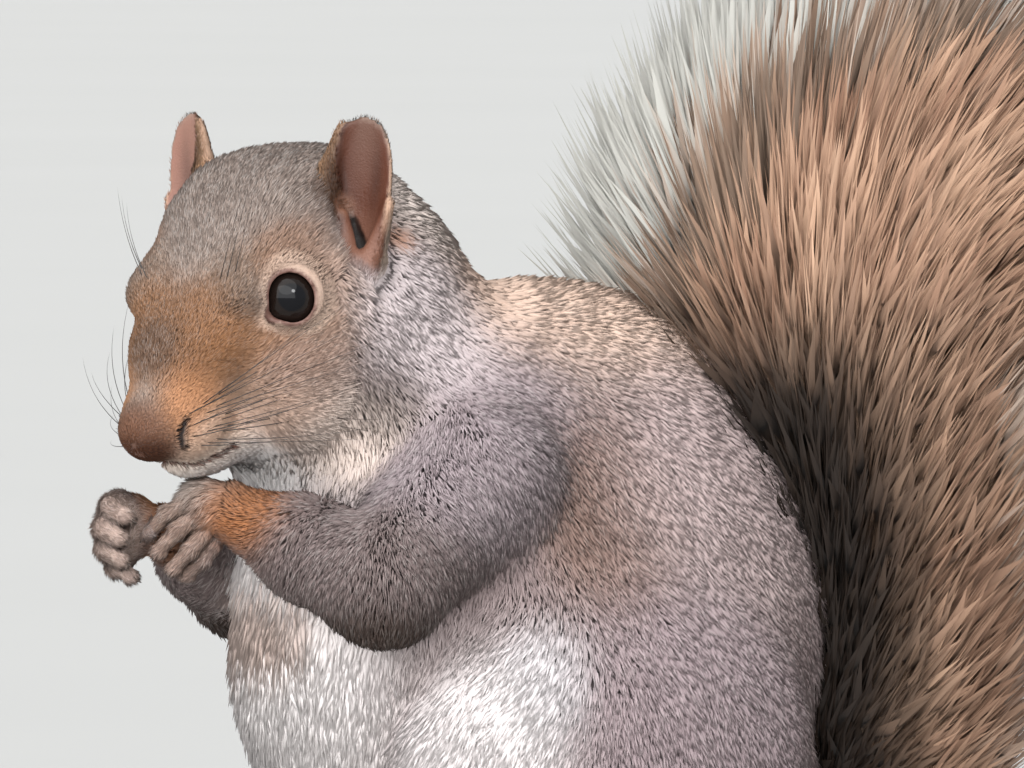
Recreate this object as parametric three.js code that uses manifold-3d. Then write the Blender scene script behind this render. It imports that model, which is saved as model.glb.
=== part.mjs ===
// Eastern grey squirrel sitting up in its winter coat, forepaws held together under the chin.
// Millimetres, +Z up. The animal faces -Y, its own left side is +X and the floor is z = 0.
// Every outline is the outline of the coat, out to the tips of the hairs.
import * as THREE from 'three';
import Module from 'manifold-3d';

const wasm = await Module();
wasm.setup();
const { Manifold, Mesh: SolidMesh } = wasm;

// ---------- driving sizes ----------
const partingGap = 0.3; // clear width of every parting line between two nodes
const trunkCell = 9.6; // facet size on the trunk
const haunchCell = 9.2;
const headCell = 6.0;
const muzzleCell = 3.1;
const armCell = 5.6;
const footCell = 5.9;
const handCell = 2.6;

const noseTip = [17, -79.6, 93]; // the head's own frame starts here
const headYaw = 25; // degrees the head is turned to the animal's left
const headPitch = 27; // degrees the nose points down

const eyeRadius = 5.2;
const eyeAt = [13.8, 33.9, 8.55]; // left, back, up in the head's frame

const earBack = 47.5; // where the ear stands on the head, in the head's frame
const earSide = 16.0;
const earFoot = 5.6; // height of its lower lobe
const earLength = 27.5;
const earWidth = 13.2;
const earThick = 1.5;
const earThinning = 0.55; // share of its thickness that the ear loses by its tip
const earCup = [0.62, 0.26]; // depth of the cup over its half width, at the foot and at the tip
const earLean = 0.14; // how far the ear leans out for each unit of height
const earOpening = [0.97, 0.22]; // the open side faces this much forward and outward

// ---------- vectors ----------
const add = (a, b) => [a[0] + b[0], a[1] + b[1], a[2] + b[2]];
const sub = (a, b) => [a[0] - b[0], a[1] - b[1], a[2] - b[2]];
const scale = (a, s) => [a[0] * s, a[1] * s, a[2] * s];
const dot = (a, b) => a[0] * b[0] + a[1] * b[1] + a[2] * b[2];
const cross = (a, b) => [a[1] * b[2] - a[2] * b[1], a[2] * b[0] - a[0] * b[2], a[0] * b[1] - a[1] * b[0]];
const size = (a) => Math.hypot(a[0], a[1], a[2]);
const unit = (a) => scale(a, 1 / size(a));
const mix = (a, b, t) => a + (b - a) * t;
const mixPoint = (a, b, t) => [mix(a[0], b[0], t), mix(a[1], b[1], t), mix(a[2], b[2], t)];
const clamp = (v, lo, hi) => Math.min(hi, Math.max(lo, v));
const rad = (deg) => (deg * Math.PI) / 180;

// ---------- the head's frame: left, back and up from the tip of the nose ----------
const sinYaw = Math.sin(rad(headYaw));
const cosYaw = Math.cos(rad(headYaw));
const headForward = [
  sinYaw * Math.cos(rad(headPitch)), -cosYaw * Math.cos(rad(headPitch)), -Math.sin(rad(headPitch)),
];
const headLeft = [cosYaw, sinYaw, 0];
const headUp = cross(headForward, headLeft);
const headPoint = ([left, back, up]) => add(
  noseTip, add(scale(headLeft, left), add(scale(headForward, -back), scale(headUp, up))),
);

// ---------- rounded forms and the fields that join them ----------
// Axes of a form: turned about X, then Z, in degrees, in the body's frame.
function bodyAxes(aboutX = 0, aboutZ = 0) {
  const turn = new THREE.Matrix4().makeRotationZ(rad(aboutZ))
    .multiply(new THREE.Matrix4().makeRotationX(rad(aboutX)));
  return [0, 1, 2].map((c) => turn.elements.slice(c * 4, c * 4 + 3));
}

function egg(at, half, blend, axes = bodyAxes()) {
  const low = Math.min(...half);
  return {
    blend,
    distance(p) {
      const d = sub(p, at);
      const q = [dot(d, axes[0]) / half[0], dot(d, axes[1]) / half[1], dot(d, axes[2]) / half[2]];
      const near = size(q);
      if (near < 1e-6) return -low;
      const slope = size([q[0] / half[0], q[1] / half[1], q[2] / half[2]]);
      return (near * (near - 1)) / slope;
    },
  };
}

function limb(from, to, radiusFrom, radiusTo, blend) {
  const along = sub(to, from);
  const length2 = dot(along, along);
  return {
    blend,
    distance(p) {
      const t = clamp(dot(sub(p, from), along) / length2, 0, 1);
      return size(sub(p, mixPoint(from, to, t))) - mix(radiusFrom, radiusTo, t);
    },
  };
}

const headAxes = [headLeft, scale(headForward, -1), headUp];
const headEgg = (at, half, blend) => egg(headPoint(at), half, blend, headAxes);

function smoothLeast(a, b, k) {
  const h = Math.max(k - Math.abs(a - b), 0) / k;
  return Math.min(a, b) - (h * h * k) / 4;
}

function joined(forms) {
  return (p) => {
    let least = forms[0].distance(p);
    for (let i = 1; i < forms.length; i += 1) {
      least = smoothLeast(least, forms[i].distance(p), forms[i].blend);
    }
    return least;
  };
}

const bothSides = (make) => [make(1), make(-1)];

// ---------- the forms of the body ----------
const trunkForms = [
  egg([0, 5.4, 60.5], [38, 52, 58.3], 10), // barrel of back and belly
  egg([0, -14.5, 85], [31, 33.5, 32], 10), // chest and shoulders
  egg([0, -21.5, 57], [28, 29.2, 36], 9), // belly
  egg([0, 30, 23], [31, 27, 25.5], 9), // seat
  egg([-0.5, -34.6, 109], [24.5, 27.8, 28.9], 8), // neck
];
const haunchAxes = (side) => bodyAxes(-14, side * 4);
const haunchForms = bothSides((side) => egg([side * 26, 7, 40], [19.5, 37, 36], 8, haunchAxes(side)));
const kneeForms = bothSides((side) => egg([side * 27.5, -19, 34], [13, 15.5, 20], 8, bodyAxes(18)));

const headForms = [
  headEgg([0, 44, 7.5], [17.6, 21.5, 17.3], 7), // braincase
  headEgg([0, 56.5, 4], [19.5, 15, 19.3], 7), // back of the head
  headEgg([7, 48, 13], [9.5, 14, 12.5], 6), // crown beside the left ear
  headEgg([-7, 48, 13], [9.5, 14, 12.5], 6), // crown beside the right ear
  headEgg([10.6, 36, -4.5], [9.6, 14.5, 13], 6), // left cheek
  headEgg([-10.6, 36, -4.5], [9.6, 14.5, 13], 6), // right cheek
  headEgg([9.2, 31.5, 12.2], [6.2, 9.5, 5.6], 4), // left brow
  headEgg([-9.2, 31.5, 12.2], [6.2, 9.5, 5.6], 4), // right brow
  headEgg([0, 27, 3.8], [9.6, 17, 9], 7), // bridge
  headEgg([0, 24, 6.2], [9.7, 12.5, 7.0], 5), // between the eyes
  headEgg([0, 14.5, -1.8], [7.2, 12.5, 7.0], 5), // muzzle
  headEgg([4.3, 12, -4.2], [4.8, 6.5, 5], 4), // left whisker pad
  headEgg([-4.3, 12, -4.2], [4.8, 6.5, 5], 4), // right whisker pad
  headEgg([0, 6.2, -2.6], [4.5, 4.3, 4.1], 3), // nose
  headEgg([0, 20.5, -10.6], [7.6, 11.5, 5.6], 5), // lower jaw
];

const shoulderLeft = [25, -18, 86];
const elbowLeft = [33, -40, 69];
const wristLeft = [11, -56.8, 79.6];
const shoulderRight = [-25, -18, 86];
const elbowRight = [-30, -36.5, 66.5];
const wristRight = [-4.5, -62.5, 76];
const armForms = {
  left: {
    joints: [shoulderLeft, elbowLeft, wristLeft],
    upper: [limb(shoulderLeft, [33, -38, 69.5], 14, 10.5, 6)],
    fore: [limb(elbowLeft, mixPoint(elbowLeft, wristLeft, 0.5), 10.8, 8.4, 5),
      limb(mixPoint(elbowLeft, wristLeft, 0.5), wristLeft, 8.4, 5.2, 4)],
  },
  right: {
    joints: [shoulderRight, elbowRight, wristRight],
    upper: [limb(shoulderRight, [-30, -35.5, 68.5], 14, 10, 6)],
    fore: [limb(elbowRight, mixPoint(elbowRight, wristRight, 0.5), 9.6, 7.4, 5),
      limb(mixPoint(elbowRight, wristRight, 0.5), wristRight, 7.4, 4.8, 4)],
  },
};

// Each finger runs knuckle, middle joint, tip.
const handForms = {
  left: {
    palm: [
      limb(wristLeft, [9.4, -60.8, 80.9], 4.9, 4.6, 3), egg([8.6, -61.4, 79.4], [3.6, 4.6, 5.2], 3),
    ],
    fingers: [
      [[9.6, -62.1, 83.0], [8.9, -67.4, 80.0], [6.4, -70.4, 76.4]],
      [[10.6, -62.0, 80.8], [10.6, -66.5, 77.2], [8.6, -69.3, 73.6]],
      [[10.9, -60.7, 78.0], [11.2, -64.4, 74.0], [9.4, -66.8, 70.8]],
      [[10.2, -58.8, 76.0], [10.2, -61.7, 72.2], [8.2, -63.8, 69.6]],
    ],
  },
  right: {
    palm: [
      limb(wristRight, [-4.8, -67.3, 77.3], 4.5, 4.4, 3), egg([-4.0, -68.4, 76.7], [3.5, 4.4, 5.2], 3),
      egg([-3.0, -71.3, 76.8], [4.4, 4.2, 6.4], 2),
    ],
    fingers: [
      [[-4.0, -71.0, 80.5], [-1.8, -73.6, 80.7], [2.0, -72.4, 79.1]],
      [[-4.0, -72.2, 77.7], [-1.6, -75.0, 77.1], [2.6, -73.8, 75.5]],
      [[-4.0, -72.0, 74.7], [-1.8, -74.4, 73.5], [2.2, -73.4, 71.9]],
      [[-3.8, -70.6, 72.1], [-1.8, -72.4, 70.5], [1.6, -71.4, 69.1]],
    ],
  },
};
const fingerRadii = [1.9, 1.75, 1.45];
const fingerSides = 6;
const fingerClaw = 2.1; // length of a front claw beyond its finger
const clawRadius = 0.62;

const footForms = bothSides((side) => [
  limb([side * 27, 10, 6.6], [side * 28.5, -14, 5.9], 7.4, 6.6, 4), // heel and sole
  limb([side * 28.5, -14, 5.9], [side * 29.5, -33, 3.9], 6.6, 4.6, 4),
  egg([side * 29.6, -35, 3.3], [6.8, 6.2, 3.9], 3), // ball of the toes
]);
const toeSpread = [-13, -6, 0, 6, 13]; // degrees
const toeLength = [11, 14.5, 15.5, 14.5, 11];
const toeRadii = [2.3, 2.2, 1.7];
const toeSides = 5;
const toeArch = 1.1; // rise of each toe's middle joint
const toeClaw = 4.2;
const floorClearance = 0.5;

// The space that each part of the body is looked for in: lowest and highest corner.
const spaces = {
  trunk: [[-62, -86, -22], [62, 84, 142]],
  haunches: [[-62, -62, -22], [62, 62, 86]],
  head: [[-34, -96, 62], [52, -2, 152]],
  muzzle: [[-4, -92, 70], [38, -46, 120]],
  tail: [[-76, -12, -24], [86, 206, 212]],
};

// ---------- meshing a field ----------
// One vertex per cell that the surface crosses, pulled onto the surface, with quads between the cells.
function fieldMesh(openField, low, high, cell) {
  const field = (p) => Math.max(openField(p), ...[0, 1, 2].map(
    (a) => Math.max(low[a] + cell * 1.2 - p[a], p[a] - high[a] + cell * 1.2),
  ));
  const n = [0, 1, 2].map((a) => Math.ceil((high[a] - low[a]) / cell) + 1);
  const at = (i, j, k) => (i * n[1] + j) * n[2] + k;
  const value = new Float64Array(n[0] * n[1] * n[2]);
  for (let i = 0; i < n[0]; i += 1) {
    for (let j = 0; j < n[1]; j += 1) {
      for (let k = 0; k < n[2]; k += 1) {
        value[at(i, j, k)] = field([low[0] + i * cell, low[1] + j * cell, low[2] + k * cell]);
      }
    }
  }
  const vertexOf = new Map();
  const points = [];
  const corners = [0, 1, 2, 3, 4, 5, 6, 7].map((c) => [c & 1, (c >> 1) & 1, (c >> 2) & 1]);
  for (let i = 0; i + 1 < n[0]; i += 1) {
    for (let j = 0; j + 1 < n[1]; j += 1) {
      for (let k = 0; k + 1 < n[2]; k += 1) {
        let sum = [0, 0, 0];
        let count = 0;
        for (const a of corners) {
          for (let axis = 0; axis < 3; axis += 1) {
            if (a[axis]) continue;
            const b = a.slice();
            b[axis] = 1;
            const va = value[at(i + a[0], j + a[1], k + a[2])];
            const vb = value[at(i + b[0], j + b[1], k + b[2])];
            if (va < 0 === vb < 0) continue;
            sum = add(sum, mixPoint(a, b, va / (va - vb)));
            count += 1;
          }
        }
        if (!count) continue;
        vertexOf.set(at(i, j, k), points.length);
        const m = scale(sum, 1 / count);
        points.push([low[0] + (i + m[0]) * cell, low[1] + (j + m[1]) * cell, low[2] + (k + m[2]) * cell]);
      }
    }
  }
  const quads = [];
  for (let i = 1; i + 1 < n[0]; i += 1) {
    for (let j = 1; j + 1 < n[1]; j += 1) {
      for (let k = 1; k + 1 < n[2]; k += 1) {
        const here = value[at(i, j, k)] < 0;
        const steps = [[1, 0, 0], [0, 1, 0], [0, 0, 1]];
        for (let axis = 0; axis < 3; axis += 1) {
          const s = steps[axis];
          if (here === value[at(i + s[0], j + s[1], k + s[2])] < 0) continue;
          const u = steps[(axis + 1) % 3];
          const v = steps[(axis + 2) % 3];
          const quad = [[0, 0], [1, 0], [1, 1], [0, 1]].map(([a, b]) => vertexOf.get(
            at(i - a * u[0] - b * v[0], j - a * u[1] - b * v[1], k - a * u[2] - b * v[2]),
          ));
          quads.push(here ? quad : quad.reverse());
        }
      }
    }
  }
  settle(field, points, quads, cell);
  const triangles = [];
  for (const [a, b, c, d] of quads) {
    const across = size(sub(points[a], points[c]));
    const down = size(sub(points[b], points[d]));
    if (across < down) triangles.push(a, b, c, a, c, d);
    else triangles.push(a, b, d, b, c, d);
  }
  return { points, triangles };
}

// Evens out the vertices over the surface and pulls each one onto it.
function settle(field, points, quads, cell) {
  const rounds = 3;
  const evenness = 0.45;
  for (let round = 0; round < rounds; round += 1) {
    const sum = points.map(() => [0, 0, 0]);
    const count = new Array(points.length).fill(0);
    for (const quad of quads) {
      for (let c = 0; c < 4; c += 1) {
        const next = quad[(c + 1) % 4];
        sum[quad[c]] = add(sum[quad[c]], points[next]);
        sum[next] = add(sum[next], points[quad[c]]);
        count[quad[c]] += 1;
        count[next] += 1;
      }
    }
    for (let i = 0; i < points.length; i += 1) {
      if (count[i]) points[i] = mixPoint(points[i], scale(sum[i], 1 / count[i]), evenness);
      points[i] = ontoSurface(field, points[i], cell * 0.6);
    }
  }
}

function slopeAt(field, p, step = 0.05) {
  return [0, 1, 2].map((axis) => {
    const up = p.slice();
    const down = p.slice();
    up[axis] += step;
    down[axis] -= step;
    return (field(up) - field(down)) / (2 * step);
  });
}

function ontoSurface(field, p, farthest) {
  const value = field(p);
  const slope = slopeAt(field, p);
  const steep = dot(slope, slope);
  if (steep < 0.05) return p;
  const step = clamp(value / steep, -farthest, farthest);
  return sub(p, scale(slope, step));
}

// ---------- solids ----------
function solidFrom({ points, triangles }) {
  return new Manifold(new SolidMesh({
    numProp: 3,
    vertProperties: new Float32Array(points.flat()),
    triVerts: new Uint32Array(triangles),
  }));
}

function meshOf(solid) {
  const got = solid.getMesh();
  const points = [];
  for (let i = 0; i < got.vertProperties.length; i += got.numProp) {
    points.push(Array.from(got.vertProperties.slice(i, i + 3)));
  }
  return { points, triangles: Array.from(got.triVerts) };
}

// Closes up short edges and nearly flat places left by a cut, keeping the surface where it is.
function eased({ points, triangles }, farthest, turn = 0.955, passes = 4) {
  const faces = [];
  for (let i = 0; i < triangles.length; i += 3) faces.push(triangles.slice(i, i + 3));
  const around = points.map(() => new Set());
  faces.forEach((face, f) => face.forEach((v) => around[v].add(f)));
  const crossOf = ([a, b, c]) => cross(sub(points[b], points[a]), sub(points[c], points[a]));
  const shape = (face) => {
    const longest = Math.max(...face.map((v, i) => size(sub(points[v], points[face[(i + 1) % 3]]))));
    return size(crossOf(face)) / (longest * longest + 1e-12);
  };
  const next = (v) => new Set([...around[v]].flatMap((f) => faces[f]).filter((w) => w !== v));
  const smallest = 2e-4;
  const thin = 0.1;

  function moves(from, to) {
    const shared = [...next(from)].filter((v) => next(to).has(v));
    if (shared.length !== 2) return false;
    const kept = [...around[from]].filter((f) => !faces[f].includes(to));
    const worst = Math.min(...[...around[from]].map((f) => shape(faces[f])));
    return kept.every((f) => {
      const moved = faces[f].map((v) => (v === from ? to : v));
      const now = crossOf(moved);
      const was = crossOf(faces[f]);
      if (size(now) < smallest || shape(moved) < Math.min(thin, worst)) return false;
      if (size(was) > smallest && dot(unit(now), unit(was)) < turn) return false;
      return Math.abs(dot(sub(points[from], points[to]), unit(now))) < farthest;
    });
  }

  for (let pass = 0; pass < passes; pass += 1) {
    const edges = faces.flatMap((face) => (face ? face.map((v, i) => [v, face[(i + 1) % 3]]) : []))
      .filter(([a, b]) => a < b)
      .map(([a, b]) => [size(sub(points[a], points[b])), a, b])
      .sort((x, y) => x[0] - y[0]);
    for (const [, a, b] of edges) {
      if (![...around[a]].some((f) => faces[f].includes(b))) continue;
      const pair = moves(a, b) ? [a, b] : [b, a];
      if (pair[0] === b && !moves(b, a)) continue;
      const [from, to] = pair;
      for (const f of [...around[from]]) {
        around[from].delete(f);
        if (faces[f].includes(to)) {
          faces[f].forEach((v) => around[v].delete(f));
          faces[f] = null;
        } else {
          faces[f] = faces[f].map((v) => (v === from ? to : v));
          around[to].add(f);
        }
      }
    }
  }
  const used = new Map();
  const left = faces.filter((face) => face).flat();
  for (const v of left) if (!used.has(v)) used.set(v, used.size);
  return { points: [...used.keys()].map((v) => points[v]), triangles: left.map((v) => used.get(v)) };
}

// The same solid with its faces moved outwards, which leaves a clear gap when it is cut away.
function swollen(mesh, amount = partingGap + 0.08) {
  const sharpest = 0.35; // the least share of the offset that a sharp edge keeps
  const faces = mesh.points.map(() => []);
  for (let i = 0; i < mesh.triangles.length; i += 3) {
    const [a, b, c] = mesh.triangles.slice(i, i + 3);
    const face = cross(sub(mesh.points[b], mesh.points[a]), sub(mesh.points[c], mesh.points[a]));
    if (size(face) < 1e-7) continue;
    for (const v of [a, b, c]) faces[v].push(face);
  }
  const points = mesh.points.map((p, i) => {
    if (!faces[i].length) return p;
    const normal = unit(faces[i].map(unit).reduce(add));
    const least = Math.min(...faces[i].map((f) => dot(unit(f), normal)));
    return add(p, scale(normal, amount / Math.max(least, sharpest)));
  });
  return solidFrom({ points, triangles: mesh.triangles });
}

function threeMesh(geometry) {
  const merged = new Map();
  const points = [];
  const triangles = [];
  const position = geometry.getAttribute('position');
  const index = geometry.index ? Array.from(geometry.index.array) : [...Array(position.count).keys()];
  const where = index.map((i) => {
    const p = [position.getX(i), position.getY(i), position.getZ(i)];
    const key = p.map((v) => v.toFixed(4)).join();
    if (!merged.has(key)) {
      merged.set(key, points.length);
      points.push(p);
    }
    return merged.get(key);
  });
  for (let i = 0; i < where.length; i += 3) {
    const [a, b, c] = where.slice(i, i + 3);
    if (a !== b && b !== c && a !== c) triangles.push(a, b, c);
  }
  return { points, triangles };
}

// A large block whose near face lies on a plane through a point, on the side its normal points to.
function halfSpace(at, normal, reach = 400) {
  const block = new THREE.BoxGeometry(reach, reach, reach);
  block.translate(0, 0, reach / 2);
  const turn = new THREE.Quaternion().setFromUnitVectors(
    new THREE.Vector3(0, 0, 1), new THREE.Vector3(...unit(normal)),
  );
  block.applyQuaternion(turn);
  block.translate(...at);
  return solidFrom(threeMesh(block));
}

// Both sides of a cut, with the parting gap between them: [the side the normal points to, the other side].
function parted(solid, at, normal) {
  const shift = scale(unit(normal), partingGap / 2);
  return [
    solid.intersect(halfSpace(add(at, shift), normal)),
    solid.intersect(halfSpace(sub(at, shift), scale(normal, -1))),
  ];
}

function eggMesh(at, half, axes = bodyAxes(), detail = 3) {
  const ball = new THREE.IcosahedronGeometry(1, detail);
  const mesh = threeMesh(ball);
  mesh.points = mesh.points.map((q) => add(at, add(
    scale(axes[0], q[0] * half[0]), add(scale(axes[1], q[1] * half[1]), scale(axes[2], q[2] * half[2])),
  )));
  return mesh;
}

const aboveFloor = halfSpace([0, 0, 0], [0, 0, 1]);
const largest = (solid) => solid.decompose().sort((a, b) => b.volume() - a.volume())[0];

// A closed ring of sections joined by quads, with a flat fan at each end.
function loft(sections) {
  const around = sections[0].length;
  const points = sections.flat();
  const triangles = [];
  for (let s = 0; s + 1 < sections.length; s += 1) {
    for (let i = 0; i < around; i += 1) {
      const j = (i + 1) % around;
      const a = s * around + i;
      const b = s * around + j;
      triangles.push(a, b, b + around, a, b + around, a + around);
    }
  }
  const capped = (ring, outwards) => {
    const middle = scale(sections[ring].reduce(add, [0, 0, 0]), 1 / around);
    points.push(middle);
    for (let i = 0; i < around; i += 1) {
      const a = ring * around + i;
      const b = ring * around + ((i + 1) % around);
      triangles.push(...(outwards ? [a, b, points.length - 1] : [b, a, points.length - 1]));
    }
  };
  capped(0, false);
  capped(sections.length - 1, true);
  return { points, triangles };
}

// ---------- colours ----------
const colours = {
  grizzledGrey: 0x978c84,
  rustBrown: 0xa77a55,
  paleBelly: 0xddd3c8,
  pinkEar: 0x9a7265,
  handBrown: 0x8d7a6e,
  tailBrown: 0x7d6452,
  eyeBlack: 0x0d0b0c,
  clawDark: 0x2c2522,
};
const root = new THREE.Group();
const placed = {};

function place(name, solid, colour, roughness = 0.9) {
  const whole = largest(solid);
  const fine = name.startsWith('claw') ? 0.01 : 0.08;
  const got = eased(meshOf(whole), fine);
  const geometry = new THREE.BufferGeometry();
  geometry.setAttribute('position', new THREE.Float32BufferAttribute(got.points.flat(), 3));
  geometry.setIndex(got.triangles);
  geometry.computeVertexNormals();
  const material = new THREE.MeshStandardMaterial({ color: colour, roughness, metalness: 0 });
  const mesh = new THREE.Mesh(geometry, material);
  mesh.name = name;
  root.add(mesh);
  placed[name] = got;
  return whole;
}

// ---------- trunk, haunches and neck ----------
const trunkField = joined([...trunkForms, ...haunchForms, ...kneeForms]);
const trunkMesh = fieldMesh(trunkField, ...spaces.trunk, trunkCell);
const trunkWhole = solidFrom(trunkMesh).intersect(aboveFloor);

// The haunch is parted from the trunk by an egg, which the trunk keeps clear of by the parting gap.
const haunchCutHalf = [22, 45, 40];
const haunchCut = (side, grow) => solidFrom(eggMesh(
  [side * 39, 1, 35], haunchCutHalf.map((half) => half + grow), haunchAxes(side), 2,
));
const haunchMesh = fieldMesh(trunkField, ...spaces.haunches, haunchCell);
const haunchWhole = solidFrom(haunchMesh).intersect(aboveFloor);
const haunchLeft = haunchWhole.intersect(haunchCut(1, 0));
const haunchRight = haunchWhole.intersect(haunchCut(-1, 0));
let torso = trunkWhole.subtract(haunchCut(1, partingGap)).subtract(haunchCut(-1, partingGap));
torso = largest(torso);

const neckCutAt = [-0.5, -22, 100];
const neckCutNormal = [0, -0.80, 0.60];
const chestCutAt = [0, -10, 72];
const chestCutNormal = [0, -0.62, 0.78];
const rumpCutAt = [0, 14, 50];
const rumpCutNormal = [0, 0.93, -0.36];

const headForm = joined([...trunkForms, ...headForms]);
const headMesh = fieldMesh(headForm, ...spaces.head, headCell);
const [, bodyBelowHead] = parted(torso, neckCutAt, neckCutNormal);
const headCutAt = headPoint([0, 62, 0]);
const headCutNormal = unit(add(headForward, scale(headUp, 0.25)));
const [neckAndHead] = parted(solidFrom(headMesh), neckCutAt, neckCutNormal);
const [headWhole, neckPart] = parted(neckAndHead, headCutAt, headCutNormal);

const [chest, lowerTrunk] = parted(bodyBelowHead, chestCutAt, chestCutNormal);
const [rump, belly] = parted(lowerTrunk, rumpCutAt, rumpCutNormal);

place('rump', rump, colours.grizzledGrey);
place('belly', belly, colours.paleBelly);
place('chest', chest, colours.grizzledGrey);
place('thigh_left', haunchLeft, colours.grizzledGrey);
place('thigh_right', haunchRight, colours.grizzledGrey);
place('neck', neckPart, colours.grizzledGrey);

// ---------- head, muzzle and jaw ----------
const muzzleCutAt = headPoint([0, 17.5, 0]);
const muzzleCutNormal = unit(add(headForward, scale(headUp, 0.15)));
const muzzleMesh = fieldMesh(headForm, ...spaces.muzzle, muzzleCell);
const jawCutAt = headPoint([0, 12, -8.6]);
const jawCutNormal = unit(add(scale(headUp, -1), scale(headForward, -0.12)));
const [, skull] = parted(headWhole, muzzleCutAt, muzzleCutNormal);
const [snout] = parted(solidFrom(muzzleMesh), muzzleCutAt, muzzleCutNormal);
const [chin, muzzle] = parted(snout, jawCutAt, jawCutNormal);

const eyes = [1, -1].map((side) => eggMesh(
  headPoint([side * eyeAt[0], eyeAt[1], eyeAt[2]]), [eyeRadius, eyeRadius, eyeRadius], bodyAxes(), 2,
));
let skullWithSockets = skull;
for (const eye of eyes) skullWithSockets = skullWithSockets.subtract(swollen(eye));

place('head', skullWithSockets, colours.grizzledGrey);
place('muzzle', muzzle, colours.rustBrown);
place('lower_jaw', chin, colours.paleBelly);
place('eye_left', solidFrom(eyes[0]), colours.eyeBlack, 0.05);
place('eye_right', solidFrom(eyes[1]), colours.eyeBlack, 0.05);

// ---------- ears ----------
// An ear is an oval cup: rows climb its length, each row bends forward from edge to edge.
function earMesh(side) {
  const rows = 7;
  const columns = 5;
  const foot = headPoint([side * earSide, earBack, earFoot]);
  // The ear stands nearly upright in the world, leans out a little and opens forward and outward.
  const upward = unit([headLeft[0] * side * earLean, headLeft[1] * side * earLean, 1]);
  const open = add(scale(headForward, earOpening[0]), scale(headLeft, side * earOpening[1]));
  const facing = unit(sub(open, scale(upward, dot(open, upward))));
  const wide = cross(upward, facing);
  const sheet = (depth) => {
    const grid = [];
    for (let r = 0; r <= rows; r += 1) {
      const climb = r / rows;
      const width = earWidth * 0.5 * earOutline(climb);
      const cup = mix(earCup[0], earCup[1], climb) * width;
      const line = [];
      for (let c = 0; c <= columns; c += 1) {
        const t = (c / columns) * 2 - 1;
        const bend = (t * t - 0.45) * cup;
        const thin = depth * (1 - earThinning * climb);
        const lift = earLength * (climb - 0.07 * (1 - climb) * t * t);
        line.push(add(foot, add(scale(wide, t * width * 0.96), add(
          scale(facing, bend + thin), scale(upward, lift),
        ))));
      }
      grid.push(line);
    }
    return grid;
  };
  const front = sheet(earThick / 2);
  const back = sheet(-earThick / 2);
  const sections = front.map((line, r) => [...line, ...back[r].slice().reverse()]);
  const made = loft(sections);
  return solidFrom(made).volume() < 0 ? flipped(made) : made;
}

// Half width of the ear along its height, 1 at its widest.
function earOutline(climb) {
  const narrowFoot = 0.72;
  const tipRound = Math.sqrt(Math.max(0, 1 - Math.max(0, (climb - 0.52) / 0.49) ** 2.3));
  return mix(narrowFoot, 1, Math.sin(clamp(climb / 0.5, 0, 1) * Math.PI * 0.5)) * Math.max(tipRound, 0.2);
}

const flipped = ({ points, triangles }) => ({ points, triangles: triangles.slice().reverse() });

[1, -1].forEach((side) => {
  const name = side > 0 ? 'ear_left' : 'ear_right';
  const ear = solidFrom(earMesh(side)).subtract(swollen(placed.head)).subtract(swollen(placed.neck));
  place(name, ear, colours.pinkEar, 0.8);
});

// ---------- arms ----------
const covers = [
  'head', 'muzzle', 'lower_jaw', 'neck', 'chest', 'belly', 'rump', 'thigh_left', 'thigh_right',
];
function clearOf(solid, names, clearance = partingGap + 0.08) {
  let rest = solid;
  for (const name of names) {
    const before = rest.subtract(swollen(placed[name], clearance));
    const neighbour = solidFrom(placed[name]);
    // A sharp edge can still reach in, so what is left of it is taken away too.
    const reachesIn = before.intersect(neighbour).volume() > 0.001;
    rest = reachesIn ? before.subtract(neighbour) : before;
  }
  return rest;
}

function boxAround(pointsIn, margin) {
  const low = [0, 1, 2].map((a) => Math.min(...pointsIn.map((p) => p[a])) - margin);
  const high = [0, 1, 2].map((a) => Math.max(...pointsIn.map((p) => p[a])) + margin);
  return [low, high];
}

const armMargin = 19; // clear space around the joints for the flesh and hair of the arm
const handMargin = 7.5;
const elbowCutOffset = 2;
const wristCutOffset = 1.5;

for (const side of ['left', 'right']) {
  const arm = armForms[side];
  const [shoulder, elbow, wrist] = arm.joints;
  const armField = joined([...arm.upper, ...arm.fore]);
  const [low, high] = boxAround(arm.joints, armMargin);
  const armSolid = clearOf(solidFrom(fieldMesh(armField, low, high, armCell)), covers);
  const elbowNormal = unit(add(unit(sub(wrist, elbow)), unit(sub(elbow, shoulder))));
  const [fore, upper] = parted(armSolid, add(elbow, scale(elbowNormal, elbowCutOffset)), elbowNormal);
  place(`upper_arm_${side}`, upper, colours.grizzledGrey);
  const wristNormal = unit(sub(wrist, elbow));
  const wristCutAt = sub(wrist, scale(wristNormal, wristCutOffset));
  const [, foreOnly] = parted(fore, wristCutAt, wristNormal);
  place(`forearm_${side}`, foreOnly, side === 'left' ? colours.rustBrown : colours.grizzledGrey);

  const hand = handForms[side];
  const [handLow, handHigh] = boxAround([wrist, ...hand.fingers.flat()], handMargin);
  let handSolid = solidFrom(fieldMesh(joined(hand.palm), handLow, handHigh, handCell));
  for (const finger of hand.fingers) {
    handSolid = handSolid.add(solidFrom(digitMesh(finger, fingerRadii, fingerSides)));
  }
  const [handOnly] = parted(handSolid, wristCutAt, wristNormal);
  const others = side === 'left' ? covers : [...covers, 'hand_left', 'forearm_left'];
  place(`hand_${side}`, clearOf(handOnly, [...others, `forearm_${side}`]), colours.handBrown);
  hand.fingers.forEach(([, joint, tip], i) => {
    const towards = [side === 'left' ? -1 : 1, 0.5, -0.6];
    const claw = clawMesh(tip, unit(sub(tip, joint)), towards, fingerClaw, fingerRadii[2]);
    const hands = side === 'left' ? ['hand_left'] : ['hand_right', 'hand_left'];
    const clear = clearOf(solidFrom(claw), [...hands, ...covers]);
    place(`claw_hand_${side}_${i + 1}`, clear, colours.clawDark, 0.35);
  });
}

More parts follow.
